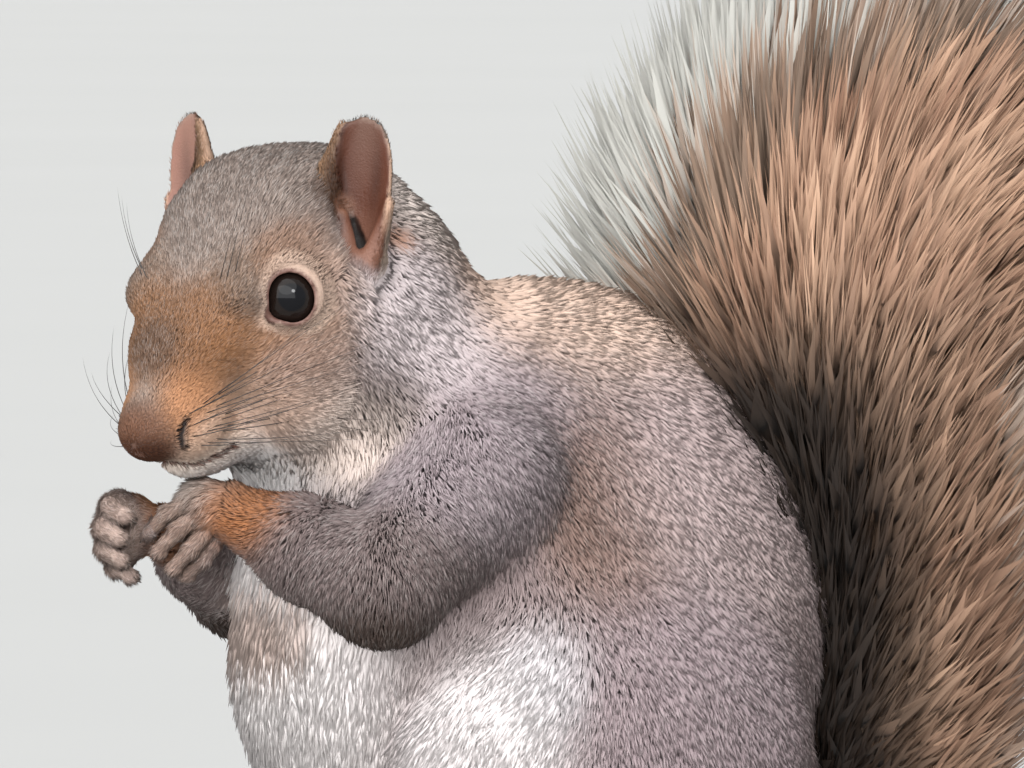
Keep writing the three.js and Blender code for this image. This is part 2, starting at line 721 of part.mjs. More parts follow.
// A finger or toe is a tube, rounded at its end, that starts inside the palm or the ball of the foot.
function digitMesh(line, radii, sides) {
  const last = line.length - 1;
  const ways = line.map((p, i) => unit(sub(line[Math.min(i + 1, last)], line[Math.max(i - 1, 0)])));
  const stations = line.map((p, i) => [p, ways[i], radii[i]]);
  stations.unshift([sub(line[0], scale(ways[0], 2)), ways[0], radii[0] * 0.8]);
  stations.push([add(line[last], scale(ways[last], radii[last] * 0.75)), ways[last], radii[last] * 0.6]);
  const made = loft(stations.map(([centre, along, radius]) => {
    const over = unit(cross(along, [1, 0, 0.3]));
    const beside = cross(along, over);
    return [...Array(sides).keys()].map((i) => {
      const a = (i / sides) * Math.PI * 2;
      return add(centre, add(scale(over, Math.cos(a) * radius), scale(beside, Math.sin(a) * radius)));
    });
  }));
  return solidFrom(made).volume() < 0 ? flipped(made) : made;
}

// A claw is a short hook: sections shrink from the root to the point while its line bends down.
function clawMesh(tip, along, towards, length, rootDepth) {
  const rings = 3;
  const around = 5;
  const bend = unit(towards);
  const side = unit(cross(along, bend));
  const sections = [];
  for (let r = 0; r < rings; r += 1) {
    const t = r / (rings - 1);
    const reach = rootDepth * 0.7 + t * length;
    const centre = add(tip, add(scale(along, reach), scale(bend, t * t * length * 0.32)));
    const thick = clawRadius * (1 - 0.78 * t);
    const over = unit(cross(side, along));
    sections.push([...Array(around).keys()].map((i) => {
      const a = (i / around) * Math.PI * 2;
      const across = scale(side, Math.cos(a) * thick * 0.8);
      return add(centre, add(across, scale(over, Math.sin(a) * thick * 1.15)));
    }));
  }
  const made = loft(sections);
  return solidFrom(made).volume() < 0 ? flipped(made) : made;
}

// ---------- hind feet ----------
[1, -1].forEach((side, i) => {
  const label = side > 0 ? 'left' : 'right';
  const ball = [side * 29.6, -35, 2.7];
  const toes = toeSpread.map((deg, t) => {
    const dir = [Math.sin(rad(deg + side * 3)), -Math.cos(rad(deg + side * 3)), 0];
    const rooted = add(ball, [Math.sin(rad(deg)) * 16, -1.5, 0]);
    const tip = add(rooted, scale(dir, toeLength[t]));
    const joint = add(mixPoint(rooted, tip, 0.5), [0, 0, toeArch]);
    tip[2] = toeRadii[2] * 0.9;
    return { line: [rooted, joint, tip], dir, tip };
  });
  const footField = joined(footForms[i]);
  const [low, high] = boxAround([[side * 27, 12, 8], ball, ...toes.map((t) => t.tip)], 9);
  low[2] = -6;
  let footSolid = solidFrom(fieldMesh(footField, low, high, footCell));
  for (const toe of toes) footSolid = footSolid.add(solidFrom(digitMesh(toe.line, toeRadii, toeSides)));
  footSolid = footSolid.intersect(aboveFloor);
  // Where two nodes meet on the floor the wider clearance keeps their lowest edges apart.
  place(`foot_${label}`, clearOf(footSolid, covers, floorClearance), colours.handBrown);
  toes.forEach(({ dir, tip }, t) => {
    const claw = clawMesh(add(tip, [0, 0, 0.3]), dir, [0, 0, -1], toeClaw, toeRadii[2]);
    const clear = clearOf(solidFrom(claw).intersect(aboveFloor), [`foot_${label}`]);
    place(`claw_foot_${label}_${t + 1}`, clear, colours.clawDark, 0.35);
  });
});

// ---------- tail ----------
// The bony tail's line, from the seat up behind the back, over the crest and down behind.
const tailLine = [
  [0, 43, 14], [0, 57, 16.5], [0, 64, 36], [0.5, 64, 63], [2, 61, 90], [4, 64, 114],
  [7, 78, 131], [10, 101, 134], [12, 123, 126], [13, 141, 110],
];
// At each point of the line: hair to either side, hair in front, hair behind, twist in degrees.
const tailHair = [
  [14, 12, 14, 0], [24, 15, 18, 8], [33, 20, 26, 18], [41, 27, 29, 28], [49, 40, 25, 34], [54, 49, 20, 36],
  [51, 49, 17, 32], [45, 42, 20, 26], [36, 33, 22, 20], [25, 25, 21, 14],
];
const tailReach = 25; // how far each round of hair runs along the line
const tailSweep = 0.3; // share of its length that hair leans towards the tip
const tailTipHair = 14; // hair beyond the last round
const tailRounds = 34;
const tailBlend = 1.5;
const tailCell = 12.2;

const tailPoints = tailLine.map((p) => new THREE.Vector3(...p));
const tailCurve = new THREE.CatmullRomCurve3(tailPoints, false, 'centripetal');

function tailHairAt(share) {
  const f = clamp(share, 0, 1) * (tailHair.length - 1);
  const i = Math.min(Math.floor(f), tailHair.length - 2);
  return tailHair[i].map((v, column) => mix(v, tailHair[i + 1][column], f - i));
}

function tailForm(share, thinner = 1, beyond = 0) {
  const [beside, front, behind, twist] = tailHairAt(share);
  const along = tailCurve.getTangent(share).toArray();
  const back = unit(cross(along, [1, 0, 0]));
  const level = cross(back, along);
  const wide = add(scale(level, Math.cos(rad(twist))), scale(back, Math.sin(rad(twist))));
  const deep = sub(scale(back, Math.cos(rad(twist))), scale(level, Math.sin(rad(twist))));
  const lean = ((beside + front + behind) * tailSweep) / 3 + beyond;
  const centre = add(tailCurve.getPoint(share).toArray(), add(
    scale(deep, ((behind - front) / 2) * thinner), scale(along, lean),
  ));
  const half = [beside * thinner, ((front + behind) / 2) * thinner, tailReach];
  return egg(centre, half, tailBlend, [wide, deep, along]);
}

const tailForms = [...Array(tailRounds + 1).keys()].map((i) => tailForm(i / tailRounds));
tailForms.push(tailForm(1, 0.8, tailTipHair));
const tailSolid = solidFrom(fieldMesh(joined(tailForms), ...spaces.tail, tailCell));

// Thin cuts across the tail: place along the line, and how far each cut reaches from it.
const tailCuts = [[0.19, 40], [0.37, 52], [0.56, 76], [0.77, 66]];
function slab(at, normal, reach) {
  const block = new THREE.BoxGeometry(reach * 2, reach * 2, partingGap);
  const upright = new THREE.Vector3(0, 0, 1);
  block.applyQuaternion(new THREE.Quaternion().setFromUnitVectors(upright, new THREE.Vector3(...normal)));
  block.translate(...at);
  return solidFrom(threeMesh(block));
}

let tailLeft = tailSolid.intersect(aboveFloor);
for (const [share, reach] of tailCuts) {
  const cut = slab(tailCurve.getPoint(share).toArray(), tailCurve.getTangent(share).toArray(), reach);
  tailLeft = tailLeft.subtract(cut);
}
const tailNames = ['tail_root', 'tail_lower', 'tail_middle', 'tail_upper', 'tail_tip'];
const tailCovers = ['rump', 'belly', 'thigh_left', 'thigh_right', 'chest'];
const tailEnds = [0, ...tailCuts.map(([share]) => share), 1];
const tailPieces = tailLeft.decompose();
tailNames.forEach((name, n) => {
  const middle = tailCurve.getPoint(mix(tailEnds[n], tailEnds[n + 1], 0.5)).toArray();
  const probe = solidFrom(eggMesh(middle, [1, 1, 1], bodyAxes(), 1));
  const piece = tailPieces.find((solid) => solid.intersect(probe).volume() > 0.1);
  place(name, clearOf(piece, tailCovers, floorClearance), colours.tailBrown);
});

// The origin lies on the floor under the middle of the whole animal.
const bounds = new THREE.Box3().setFromObject(root);
const middle = bounds.getCenter(new THREE.Vector3());
for (const mesh of root.children) mesh.geometry.translate(-middle.x, -middle.y, -bounds.min.z);

export default root;
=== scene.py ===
import math

import bpy
import numpy as np
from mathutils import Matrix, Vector


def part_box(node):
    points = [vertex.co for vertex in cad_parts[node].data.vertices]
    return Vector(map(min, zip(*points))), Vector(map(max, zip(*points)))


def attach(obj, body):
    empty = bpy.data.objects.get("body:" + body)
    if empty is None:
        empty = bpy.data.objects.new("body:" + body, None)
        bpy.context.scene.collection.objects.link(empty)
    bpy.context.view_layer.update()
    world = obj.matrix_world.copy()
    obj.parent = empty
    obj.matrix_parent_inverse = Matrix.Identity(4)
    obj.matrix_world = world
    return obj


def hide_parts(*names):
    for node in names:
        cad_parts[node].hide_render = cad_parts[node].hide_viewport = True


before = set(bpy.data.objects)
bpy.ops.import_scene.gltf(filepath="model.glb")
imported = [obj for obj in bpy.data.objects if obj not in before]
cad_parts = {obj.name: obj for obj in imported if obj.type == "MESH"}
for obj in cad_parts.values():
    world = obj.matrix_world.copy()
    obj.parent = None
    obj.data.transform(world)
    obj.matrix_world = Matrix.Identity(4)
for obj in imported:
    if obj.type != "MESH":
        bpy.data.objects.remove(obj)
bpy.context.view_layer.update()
print("frame loaded:", len(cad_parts), "nodes")

# Body plan in millimetres: x to the animal's left, y to its back, floor at z = 0
headPose = {"noseTip": (17.0, -79.6, 93.0), "yaw": 25.0, "pitch": 27.0}
eyePlan = {
    "radius": 5.2, "place": (13.8, 33.9, 8.55), "gaze": (0.735, -0.585, 0.34),
    "openWide": 3.85, "openTall": 4.25, "lid": 1.05, "corner": (14.2, 26.0, 7.8), "cornea": 0.035,
}


def unit(v):
    v = np.asarray(v, float)
    return v / np.linalg.norm(v, axis=-1, keepdims=True)


def ramp(value, start, width):
    # 0 up to start, 1 from start + width; a width below 0 turns it round
    return np.clip((value - start) / width, 0, 1)


def linear(tone):
    c = np.array(tone, float) / 255
    return np.where(c <= 0.04045, c / 12.92, ((c + 0.055) / 1.055) ** 2.4)


yaw, pitch = math.radians(headPose["yaw"]), math.radians(headPose["pitch"])
headForward = np.array([math.sin(yaw) * math.cos(pitch), -math.cos(yaw) * math.cos(pitch), -math.sin(pitch)])
headLeft = np.array([math.cos(yaw), math.sin(yaw), 0.0])
headUp = np.cross(headForward, headLeft)
headAxes = np.stack([headLeft, -headForward, headUp], 1)  # columns: left, back, up
noseTip = np.array(headPose["noseTip"])


def headPoint(left, back, up):
    return noseTip + headAxes @ np.array([left, back, up], float)


def bodyAxes(aboutX=0.0, aboutZ=0.0):
    a, c = math.radians(aboutX), math.radians(aboutZ)
    turnX = np.array([[1, 0, 0], [0, math.cos(a), -math.sin(a)], [0, math.sin(a), math.cos(a)]])
    turnZ = np.array([[math.cos(c), -math.sin(c), 0], [math.sin(c), math.cos(c), 0], [0, 0, 1]])
    return turnZ @ turnX


# Every form knows its outer size, out to the coat's tips, and how deep the coat is over the skin.
def egg(centre, half, blend, coat, axes=None):
    centre, half = np.array(centre, float), np.array(half, float)
    axes = np.eye(3) if axes is None else axes
    spread = np.sqrt(((axes * half) ** 2).sum(1))
    return {"kind": "egg", "centre": centre, "half": half, "blend": blend, "coat": coat, "axes": axes,
            "low": centre - spread, "high": centre + spread}


def limb(start, end, startRadius, endRadius, blend, coat, endCoat=None):
    start, end = np.array(start, float), np.array(end, float)
    return {"kind": "limb", "start": start, "end": end, "radii": (startRadius, endRadius), "blend": blend,
            "coat": coat, "endCoat": coat if endCoat is None else endCoat,
            "low": np.minimum(start - startRadius, end - endRadius),
            "high": np.maximum(start + startRadius, end + endRadius)}


trunkForms = [
    egg((0, 5.4, 60.5), (38, 52, 58.3), 10, 3.5),  # barrel
    egg((0, -14.5, 85), (31, 33.5, 32), 10, 3.7),  # chest
    egg((0, -21.5, 57), (28, 29.2, 36), 9, 4.2),  # belly
    egg((0, 30, 23), (31, 27, 25.5), 9, 3.2),  # seat
    egg((-0.5, -34.6, 109), (24.5, 27.8, 28.9), 8, 3.0),  # neck
]
haunchForms = []
for side in (1, -1):
    haunchForms.append(egg((26 * side, 7, 40), (19.5, 37, 36), 5, 3.3, bodyAxes(-14, 4 * side)))
    haunchForms.append(egg((27.5 * side, -19, 34), (13, 15.5, 20), 6, 3.0, bodyAxes(18)))

headPlan = [
    # left, back and up from the nose; half sizes; blend; coat. Forms off the middle are made on both sides.
    ((0, 44, 7.5), (17.6, 21.5, 17.3), 7, 1.7),  # braincase
    ((0, 56.5, 4), (19.5, 15, 19.3), 7, 2.3),  # back of the head
    ((7, 48, 13), (9.5, 14, 12.5), 6, 1.7),  # crown beside the ears
    ((10.6, 36, -4.5), (9.6, 14.5, 13), 6, 1.9),  # cheeks
    ((9.2, 31.5, 12.2), (6.2, 9.5, 5.6), 4, 1.0),  # brows
    ((0, 27, 3.8), (9.6, 17, 9), 7, 1.0),  # bridge
    ((0, 24, 6.2), (9.7, 12.5, 7.0), 5, 1.0),  # between the eyes
    ((0, 14.5, -1.8), (7.2, 12.5, 7.0), 5, 0.75),  # muzzle
    ((4.3, 12, -4.2), (4.8, 6.5, 5), 4, 0.7),  # whisker pads
    ((0, 6.2, -2.6), (4.5, 4.3, 4.1), 3, 0.12),  # nose
    ((0, 20.5, -10.6), (7.6, 11.5, 5.6), 5, 1.2),  # lower jaw
]
headForms = []
for (left, back, up), half, blend, coat in headPlan:
    for side in (1, -1) if left else (1,):
        headForms.append(egg(headPoint(left * side, back, up), half, blend, coat, headAxes))

armPlan = {
    1: {"shoulder": (25, -18, 86), "bend": (33, -38, 69.5), "elbow": (33, -40, 69),
        "wrist": (11, -56.8, 79.6), "upper": (14, 10.5), "fore": (10.8, 8.4, 5.2)},
    -1: {"shoulder": (-25, -18, 86), "bend": (-30, -35.5, 68.5), "elbow": (-30, -36.5, 66.5),
         "wrist": (-4.5, -62.5, 76), "upper": (14, 10), "fore": (9.6, 7.4, 4.8)},
}
handPlan = {
    1: {"palm": ((9.4, -60.8, 80.9), 4.9, 4.6), "heel": ((8.6, -61.4, 79.4), (3.6, 4.6, 5.2)), "merge": 0.7,
        "fingers": [
        ((9.6, -62.1, 83.0), (8.9, -67.4, 80.0), (6.4, -70.4, 76.4)),
        ((10.6, -62.0, 80.8), (10.6, -66.5, 77.2), (8.6, -69.3, 73.6)),
        ((10.9, -60.7, 78.0), (11.2, -64.4, 74.0), (9.4, -66.8, 70.8)),
        ((10.2, -58.8, 76.0), (10.2, -61.7, 72.2), (8.2, -63.8, 69.6))]},
    -1: {"palm": ((-4.8, -67.3, 77.3), 4.5, 4.4), "heel": ((-4.0, -68.4, 76.7), (3.5, 4.4, 5.2)),
         "back": ((-3.0, -71.3, 76.8), (4.4, 4.2, 6.4)), "merge": 2.2, "fingers": [
        ((-4.0, -71.0, 80.5), (-1.8, -73.6, 80.7), (2.0, -72.4, 79.1)),
        ((-4.0, -72.2, 77.7), (-1.6, -75.0, 77.1), (2.6, -73.8, 75.5)),
        ((-4.0, -72.0, 74.7), (-1.8, -74.4, 73.5), (2.2, -73.4, 71.9)),
        ((-3.8, -70.6, 72.1), (-1.8, -72.4, 70.5), (1.6, -71.4, 69.1))]},
}
fingerRadii = (1.9, 1.75, 1.45)
footPlan = {"spread": (-13, -6, 0, 6, 13), "length": (11, 14.5, 15.5, 14.5, 11), "radii": (2.3, 2.2, 1.7)}
earPlan = {
    "back": 47.5, "side": 16.0, "foot": 5.6, "length": 27.5, "width": 13.2, "thick": 1.4, "cup": (0.62, 0.26),
    "sheet": 0.96, "dip": 0.07, "hollow": 0.45, "lean": 0.14, "opening": (0.97, 0.22),
}


def armForms(side):
    plan = armPlan[side]
    middle = (np.array(plan["elbow"]) + np.array(plan["wrist"])) / 2
    fore = plan["fore"]
    return [
        limb(plan["shoulder"], plan["bend"], *plan["upper"], 6, 2.8, 2.4),
        limb(plan["elbow"], middle, fore[0], fore[1], 5, 2.3, 1.9),
        limb(middle, plan["wrist"], fore[1], fore[2], 4, 1.9, 1.2),
    ]


def handForms(side):
    plan = handPlan[side]
    forms = [limb(armPlan[side]["wrist"], *plan["palm"], 3, 1.1, 0.8), egg(*plan["heel"], 3, 0.8)]
    if "back" in plan:
        forms.append(egg(*plan["back"], 2, 0.7))
    merge = plan["merge"]
    for knuckle, joint, tip in plan["fingers"]:
        forms.append(limb(knuckle, joint, fingerRadii[0] - 0.1, fingerRadii[1] - 0.15, merge, 0.4))
        forms.append(limb(joint, tip, fingerRadii[1] - 0.1, fingerRadii[2] - 0.1, merge * 0.8, 0.35))
        forms.append(egg(np.array(tip) * 0.86 + np.array(joint) * 0.14 - np.array([0.4 * side, 0, 0.5]),
                         (1.25, 1.35, 1.3), 0.5, 0.1))  # finger pad
    return forms


def toeLines(side):
    ball = np.array([29.6 * side, -35, 2.7])
    lines = []
    for degrees, length in zip(footPlan["spread"], footPlan["length"]):
        lean, out = math.radians(degrees), math.radians(degrees + 3 * side)
        aim = np.array([math.sin(out), -math.cos(out), 0])
        rooted = ball + np.array([math.sin(lean) * 16, -1.5, 0])
        tip = rooted + aim * length
        tip[2] = 1.53
        joint = (rooted + tip) / 2 + np.array([0, 0, 1.1])
        lines.append((rooted, joint, tip, aim))
    return lines


def footForms(side):
    forms = [
        limb((27 * side, 10, 6.6), (28.5 * side, -14, 5.9), 7.4, 6.6, 4, 1.6, 1.3),
        limb((28.5 * side, -14, 5.9), (29.5 * side, -33, 3.9), 6.6, 4.6, 4, 1.2, 0.9),
        egg((29.6 * side, -35, 3.3), (6.8, 6.2, 3.9), 3, 0.8),
    ]
    low, middle, far = footPlan["radii"]
    for rooted, joint, tip, _ in toeLines(side):
        forms.append(limb(rooted, joint, low, middle, 0.9, 0.5))
        forms.append(limb(joint, tip, middle, far, 0.7, 0.4))
    return forms


def earSpace(side):
    left = headLeft * side
    up = unit([headLeft[0] * side * earPlan["lean"], headLeft[1] * side * earPlan["lean"], 1])
    opening = headForward * earPlan["opening"][0] + left * earPlan["opening"][1]
    facing = unit(opening - up * (opening @ up))
    wide = np.cross(up, facing) * side
    foot = headPoint(earPlan["side"] * side, earPlan["back"], earPlan["foot"])
    return foot, wide, facing, up


# One distance field for the flesh: share 1 is the skin, share 0 the outline of the coat
def dotted(way, dx, dy, dz):
    return dx * way[0] + dy * way[1] + dz * way[2]


def withinBox(x, y, z, low, high):
    return (x > low[0]) & (x < high[0]) & (y > low[1]) & (y < high[1]) & (z > low[2]) & (z < high[2])


def smoothJoin(a, b, blend):
    h = np.maximum(blend - np.abs(a - b), 0) / blend
    return np.minimum(a, b) - h * h * blend * 0.25


def smoothCut(a, b, blend):  # a without b
    return -smoothJoin(-a, b, blend)


def eggDistance(form, x, y, z, share):
    half = form["half"] - form["coat"] * share
    dx, dy, dz = x - form["centre"][0], y - form["centre"][1], z - form["centre"][2]
    near, slope = 0.0, 1e-9
    for k in range(3):
        q = dotted(form["axes"][:, k], dx, dy, dz)
        near = near + (q / half[k]) ** 2
        slope = slope + (q / half[k] ** 2) ** 2
    near = np.sqrt(near)
    return near * (near - 1) / np.sqrt(slope)


def limbDistance(form, x, y, z, share):
    a, d = form["start"], form["end"] - form["start"]
    dx, dy, dz = x - a[0], y - a[1], z - a[2]
    t = np.clip(dotted(d, dx, dy, dz) / (d @ d), 0, 1)
    radius = form["radii"][0] + (form["radii"][1] - form["radii"][0]) * t
    coat = form["coat"] + (form["endCoat"] - form["coat"]) * t
    gap = np.sqrt((dx - t * d[0]) ** 2 + (dy - t * d[1]) ** 2 + (dz - t * d[2]) ** 2)
    return gap - radius + coat * share


def earWidthAt(climb):
    rise = np.sin(np.clip(climb / 0.5, 0, 1) * math.pi / 2)
    fall = np.sqrt(np.maximum(1 - np.maximum(0, (climb - 0.52) / 0.49) ** 2.3, 0))
    return earPlan["width"] / 2 * (0.72 + 0.28 * rise) * np.maximum(fall, 0.2)


def earCup(climb):
    return earPlan["cup"][0] + (earPlan["cup"][1] - earPlan["cup"][0]) * np.clip(climb, 0, 1)


def earPlace(space, x, y, z):
    # climb up the ear, share across it, its half width there, height over its cupped sheet, the sheet's slope
    foot, wide, facing, up = space
    away = x - foot[0], y - foot[1], z - foot[2]
    across, ahead, rise = dotted(wide, *away), dotted(facing, *away), dotted(up, *away) / earPlan["length"]
    climb = rise
    for _ in range(3):
        width = earWidthAt(np.clip(climb, 0, 1))
        t = across / (earPlan["sheet"] * width)
        climb = rise + earPlan["dip"] * (1 - np.clip(climb, 0, 1)) * np.minimum(t * t, 1.3)
    cup = earCup(climb)
    tt = np.clip(t, -1.15, 1.15)
    bend = (tt * tt - earPlan["hollow"]) * cup * width
    return climb, t, width, ahead - bend, 2 * np.abs(tt) * cup / earPlan["sheet"]


def earDistance(form, x, y, z, share):
    climb, t, width, over, slope = earPlace(form["space"], x, y, z)
    across = t * width * earPlan["sheet"]
    half = earPlan["thick"] / 2 * (1 - 0.3 * np.clip(climb, 0, 1)) + 0.35 * (1 - share)
    face = np.abs(over) / np.sqrt(1 + slope * slope) - half
    edge = (np.abs(t) - 1) * width * earPlan["sheet"]
    top = np.maximum(0, (climb - 0.5) / 0.49)
    outline = (np.abs(across / (earPlan["width"] * 0.48)) ** 2.3 + top ** 2.4) ** (1 / 2.35)
    edge = np.where(climb > 0.5, (outline - 1) * 6.2, edge)
    edge = np.maximum(edge, (-0.06 - climb) * earPlan["length"])
    return smoothCut(face, -(edge + 0.1), 0.8)


distanceOf = {"egg": eggDistance, "limb": limbDistance, "ear": earDistance}
farAway = 30.0


def ear(side):
    space = earSpace(side)
    middle = space[0] + space[3] * earPlan["length"] / 2
    return {"kind": "ear", "space": space, "blend": 2.0, "low": middle - 17, "high": middle + 17}


def earSpot(side, climb, t, over=0.0):
    foot, wide, facing, up = earSpace(side)
    width = earWidthAt(climb)
    bend = (t * t - earPlan["hollow"]) * (earCup(climb) * width)
    return (foot + wide * t * width * earPlan["sheet"] + facing * (bend + over)
            + up * earPlan["length"] * (climb - earPlan["dip"] * (1 - climb) * t * t))


def awayFrom(form, box):
    return np.any(form["low"] > box[1]) or np.any(form["high"] < box[0])


def groupDistance(group, x, y, z, share, box=None):
    # box given: a brick of the grid; otherwise x, y, z are lists of places, and far forms are passed over
    part = None
    for form in group["forms"]:
        measure = distanceOf[form["kind"]]
        if box is None:
            near = withinBox(x, y, z, form["low"] - form["blend"] - 2, form["high"] + form["blend"] + 2)
            d = np.full(len(x), farAway)
            d[near] = measure(form, x[near], y[near], z[near], share)
        elif awayFrom(form, box):
            continue
        else:
            d = measure(form, x, y, z, share)
        part = d if part is None else smoothJoin(part, d, form["blend"])
    return part


def fieldOf(x, y, z, share, box=None):
    total = None
    for group in bodyGroups:
        part = groupDistance(group, x, y, z, share, box)
        if part is None:
            continue
        if total is not None and "bowl" in group:
            total = smoothCut(total, eggDistance(group["bowl"], x, y, z, 0), 2.0)
        total = part if total is None else smoothJoin(total, part, group["blend"])
    if share == 0 or total is None:
        return total
    for carve in carvings:
        if box is None:
            near = withinBox(x, y, z, carve["low"] - 2, carve["high"] + 2)
            if near.any():
                total[near] = carve["cut"](carve, total[near], x[near], y[near], z[near])
        elif not awayFrom(carve, box):
            total = carve["cut"](carve, total, x, y, z)
    return total


def eyeSpace(side):
    left, back, up = eyePlan["place"]
    at = headPoint(left * side, back, up)
    gx, gy, gz = eyePlan["gaze"]
    gaze = unit(headAxes @ np.array([gx * side, gy, gz]))
    across = unit(np.cross(headUp, gaze))
    return at, gaze, across, np.cross(gaze, across)


def carveEye(carve, total, x, y, z):
    at, gaze, across, upward = carve["space"]
    away = x - at[0], y - at[1], z - at[2]
    far = np.sqrt(away[0] * away[0] + away[1] * away[1] + away[2] * away[2])
    total = smoothJoin(total, far - eyePlan["radius"] - eyePlan["lid"], 1.8)
    total = np.maximum(total, eyePlan["radius"] + 0.03 - far)
    u, v, w = dotted(across, *away), dotted(upward, *away), dotted(gaze, *away)
    openWide, openTall = eyePlan["openWide"], eyePlan["openTall"]
    ring = (np.sqrt((u / openWide) ** 2 + (v / openTall) ** 2) - 1) * openWide
    opening = smoothJoin(np.maximum(ring, -w), limbDistance(carve["corner"], x, y, z, 0), 0.8)
    return smoothCut(total, opening, 0.35)


def carveSlit(carve, total, x, y, z):
    return smoothCut(total, limbDistance(carve["slit"], x, y, z, 0), carve["soft"])


def eyeCarving(side):
    at, gaze, across, upward = eyeSpace(side)
    left, back, up = eyePlan["corner"]
    inner = headPoint(left * side, back, up)
    towards = unit((inner - at) - gaze * ((inner - at) @ gaze))
    corner = limb(at + gaze * 4.5 + towards * 1.9, inner, 2.1, 0.45, 0, 0)
    reach = eyePlan["radius"] + 3
    return {"cut": carveEye, "space": (at, gaze, across, upward), "corner": corner,
            "low": at - reach, "high": at + reach}


def earForms(side):
    # the cupped sheet, its front fold in two lengths, and the two lobes on either side of the canal
    def ridge(start, end, *sizes):
        return limb(earSpot(side, *start), earSpot(side, *end), *sizes)

    return [
        ear(side),
        ridge((0.20, -0.85, 2.4), (0.58, -0.86, 0.9), 3.3, 2.1, 2.0, 0.7),
        ridge((0.58, -0.86, 0.9), (0.90, -0.95, 0.2), 2.1, 0.8, 1.6, 0.5),
        ridge((0.36, -0.35, 2.6), (0.12, 0.0, 3.4), 1.7, 2.4, 1.6, 0.4),
        ridge((0.50, 0.98, 0.2), (0.14, 0.74, 1.6), 1.0, 2.3, 1.6, 0.4),
    ]


def earBowl(side):
    axes = np.stack(earSpace(side)[1:], 1)
    return egg(earSpot(side, 0.42, 0.2, 3.4), (5.6, 4.6, 8.0), 2, 0, axes)


tailLine = np.array([
    (0, 43, 14), (0, 57, 16.5), (0, 64, 36), (0.5, 64, 63), (2, 61, 90), (4, 64, 114), (7, 78, 131),
    (10, 101, 134), (12, 123, 126), (13, 141, 110),
], float)


def tailForms():
    radii = [6.2 - 0.5 * n for n in range(len(tailLine))]
    return [limb(*tailLine[n:n + 2], *radii[n:n + 2], 3, 0) for n in range(len(tailLine) - 1)]


bodyGroups = [{"name": "trunk", "forms": trunkForms, "blend": 1},
              {"name": "haunch", "forms": haunchForms, "blend": 5},
              {"name": "tail", "forms": tailForms(), "blend": 4},
              {"name": "head", "forms": headForms, "blend": 8}]
for side in (1, -1):
    bodyGroups.append({"name": "arm", "forms": armForms(side), "blend": 6})
    bodyGroups.append({"name": "hand", "forms": handForms(side), "blend": 1.2})
    bodyGroups.append({"name": "foot", "forms": footForms(side), "blend": 4})
    bodyGroups.append({"name": "ear", "forms": earForms(side), "blend": 2.2, "bowl": earBowl(side)})

carvings = []


def slopeOf(points, share, step=0.06):
    # four samples at the corners of a tetrahedron
    total = np.zeros_like(points)
    for way in ((1, -1, -1), (-1, -1, 1), (-1, 1, -1), (1, 1, 1)):
        p = points + np.array(way) * step
        total += np.array(way) * fieldOf(*p.T, share)[:, None]
    return total / (4 * step)


def onSkin(point, rounds=6):
    point = np.array(point, float)[None]
    for _ in range(rounds):
        gap = fieldOf(*point.T, 1.0)
        point = point - unit(slopeOf(point, 1.0)) * gap[:, None]
    return point[0]


# Slits in the skin: where they run (in the head's frame, or up and across the ear), radii and colour. The
# near-black tones of the nostrils and ear canals are painted shade inside these openings.
slitPlan = {
    "nostril": {"line": [(6.8, 7.8, -1.2), (6.3, 6.3, -3.0), (6.1, 6.1, -4.8)], "radii": (0.3, 0.5, 0.42),
                "tone": (34, 20, 16)},
    "mouth": {"line": [(0.4, 7.4, -8.9), (3, 9.5, -9.6), (5.6, 12, -10.4), (8.2, 16.2, -11.2)],
              "radii": (0.3, 0.38, 0.38, 0.25), "tone": (92, 60, 50)},
    "canal": {"ear": [(0.33, -0.12), (0.23, 0.05), (0.12, 0.36)], "radii": (0.45, 0.95, 0.85),
              "tone": (20, 12, 10)},
}


def slitLines():
    lines = []
    for plan in slitPlan.values():
        for side in (1, -1):
            if "ear" in plan:
                spots = [earSpot(side, climb, t, 0.8) for climb, t in plan["ear"]]
            else:
                spots = [headPoint(left * side, back, up) for left, back, up in plan["line"]]
            spots, radii = [onSkin(spot) for spot in spots], plan["radii"]
            for n in range(len(spots) - 1):
                lines.append((limb(*spots[n:n + 2], *radii[n:n + 2], 0, 0), plan["tone"]))
    return lines


slits = slitLines()


def slitGap(points):
    # distance from the edge of the nearest slit, and that slit's tone
    gap, tone = np.full(len(points), 9.0), np.zeros((len(points), 3))
    for form, shade in slits:
        near = np.all((points > form["low"] - 3) & (points < form["high"] + 3), 1)
        found = limbDistance(form, *points[near].T, 0)
        closer = found < gap[near]
        index = np.nonzero(near)[0][closer]
        gap[index], tone[index] = found[closer], linear(shade)
    return gap, tone


def tint(colour, tone, weight):
    colour += (tone - colour) * weight[:, None]


def paintSlits(points, colour):
    gap, tone = slitGap(points)
    # tints the colour near each slit with its tone: painted shade in the nostrils and ear canals
    tint(colour, tone, ramp(gap, 0.55, -0.4))


carvings = [eyeCarving(1), eyeCarving(-1)]
for form, shade in slits:
    carvings.append({"cut": carveSlit, "slit": form, "soft": 0.45,
                     "low": form["low"] - 1, "high": form["high"] + 1})


# The skin is found by surface nets on a grid that is fine round the head and hands
skinGrid = {
    # along each axis: where a stretch starts and how fine it is, then the end
    "x": ((-54, 1.35), (-26, 0.75), (-6, 0.52), (34, 1.3), 54),
    "y": ((-86, 0.52), (-48, 0.72), (-24, 1.6), 148),
    "z": ((9.2, 1.4), (64, 0.55), (128, 0.75), 152),
    "floor": 0.15, "brick": 26, "reach": 6.0,
}


def gridLine(marks):
    ends = [mark[0] for mark in marks[1:-1]] + [marks[-1]]
    return np.concatenate([np.arange(start, end, step) for (start, step), end in zip(marks, ends)])


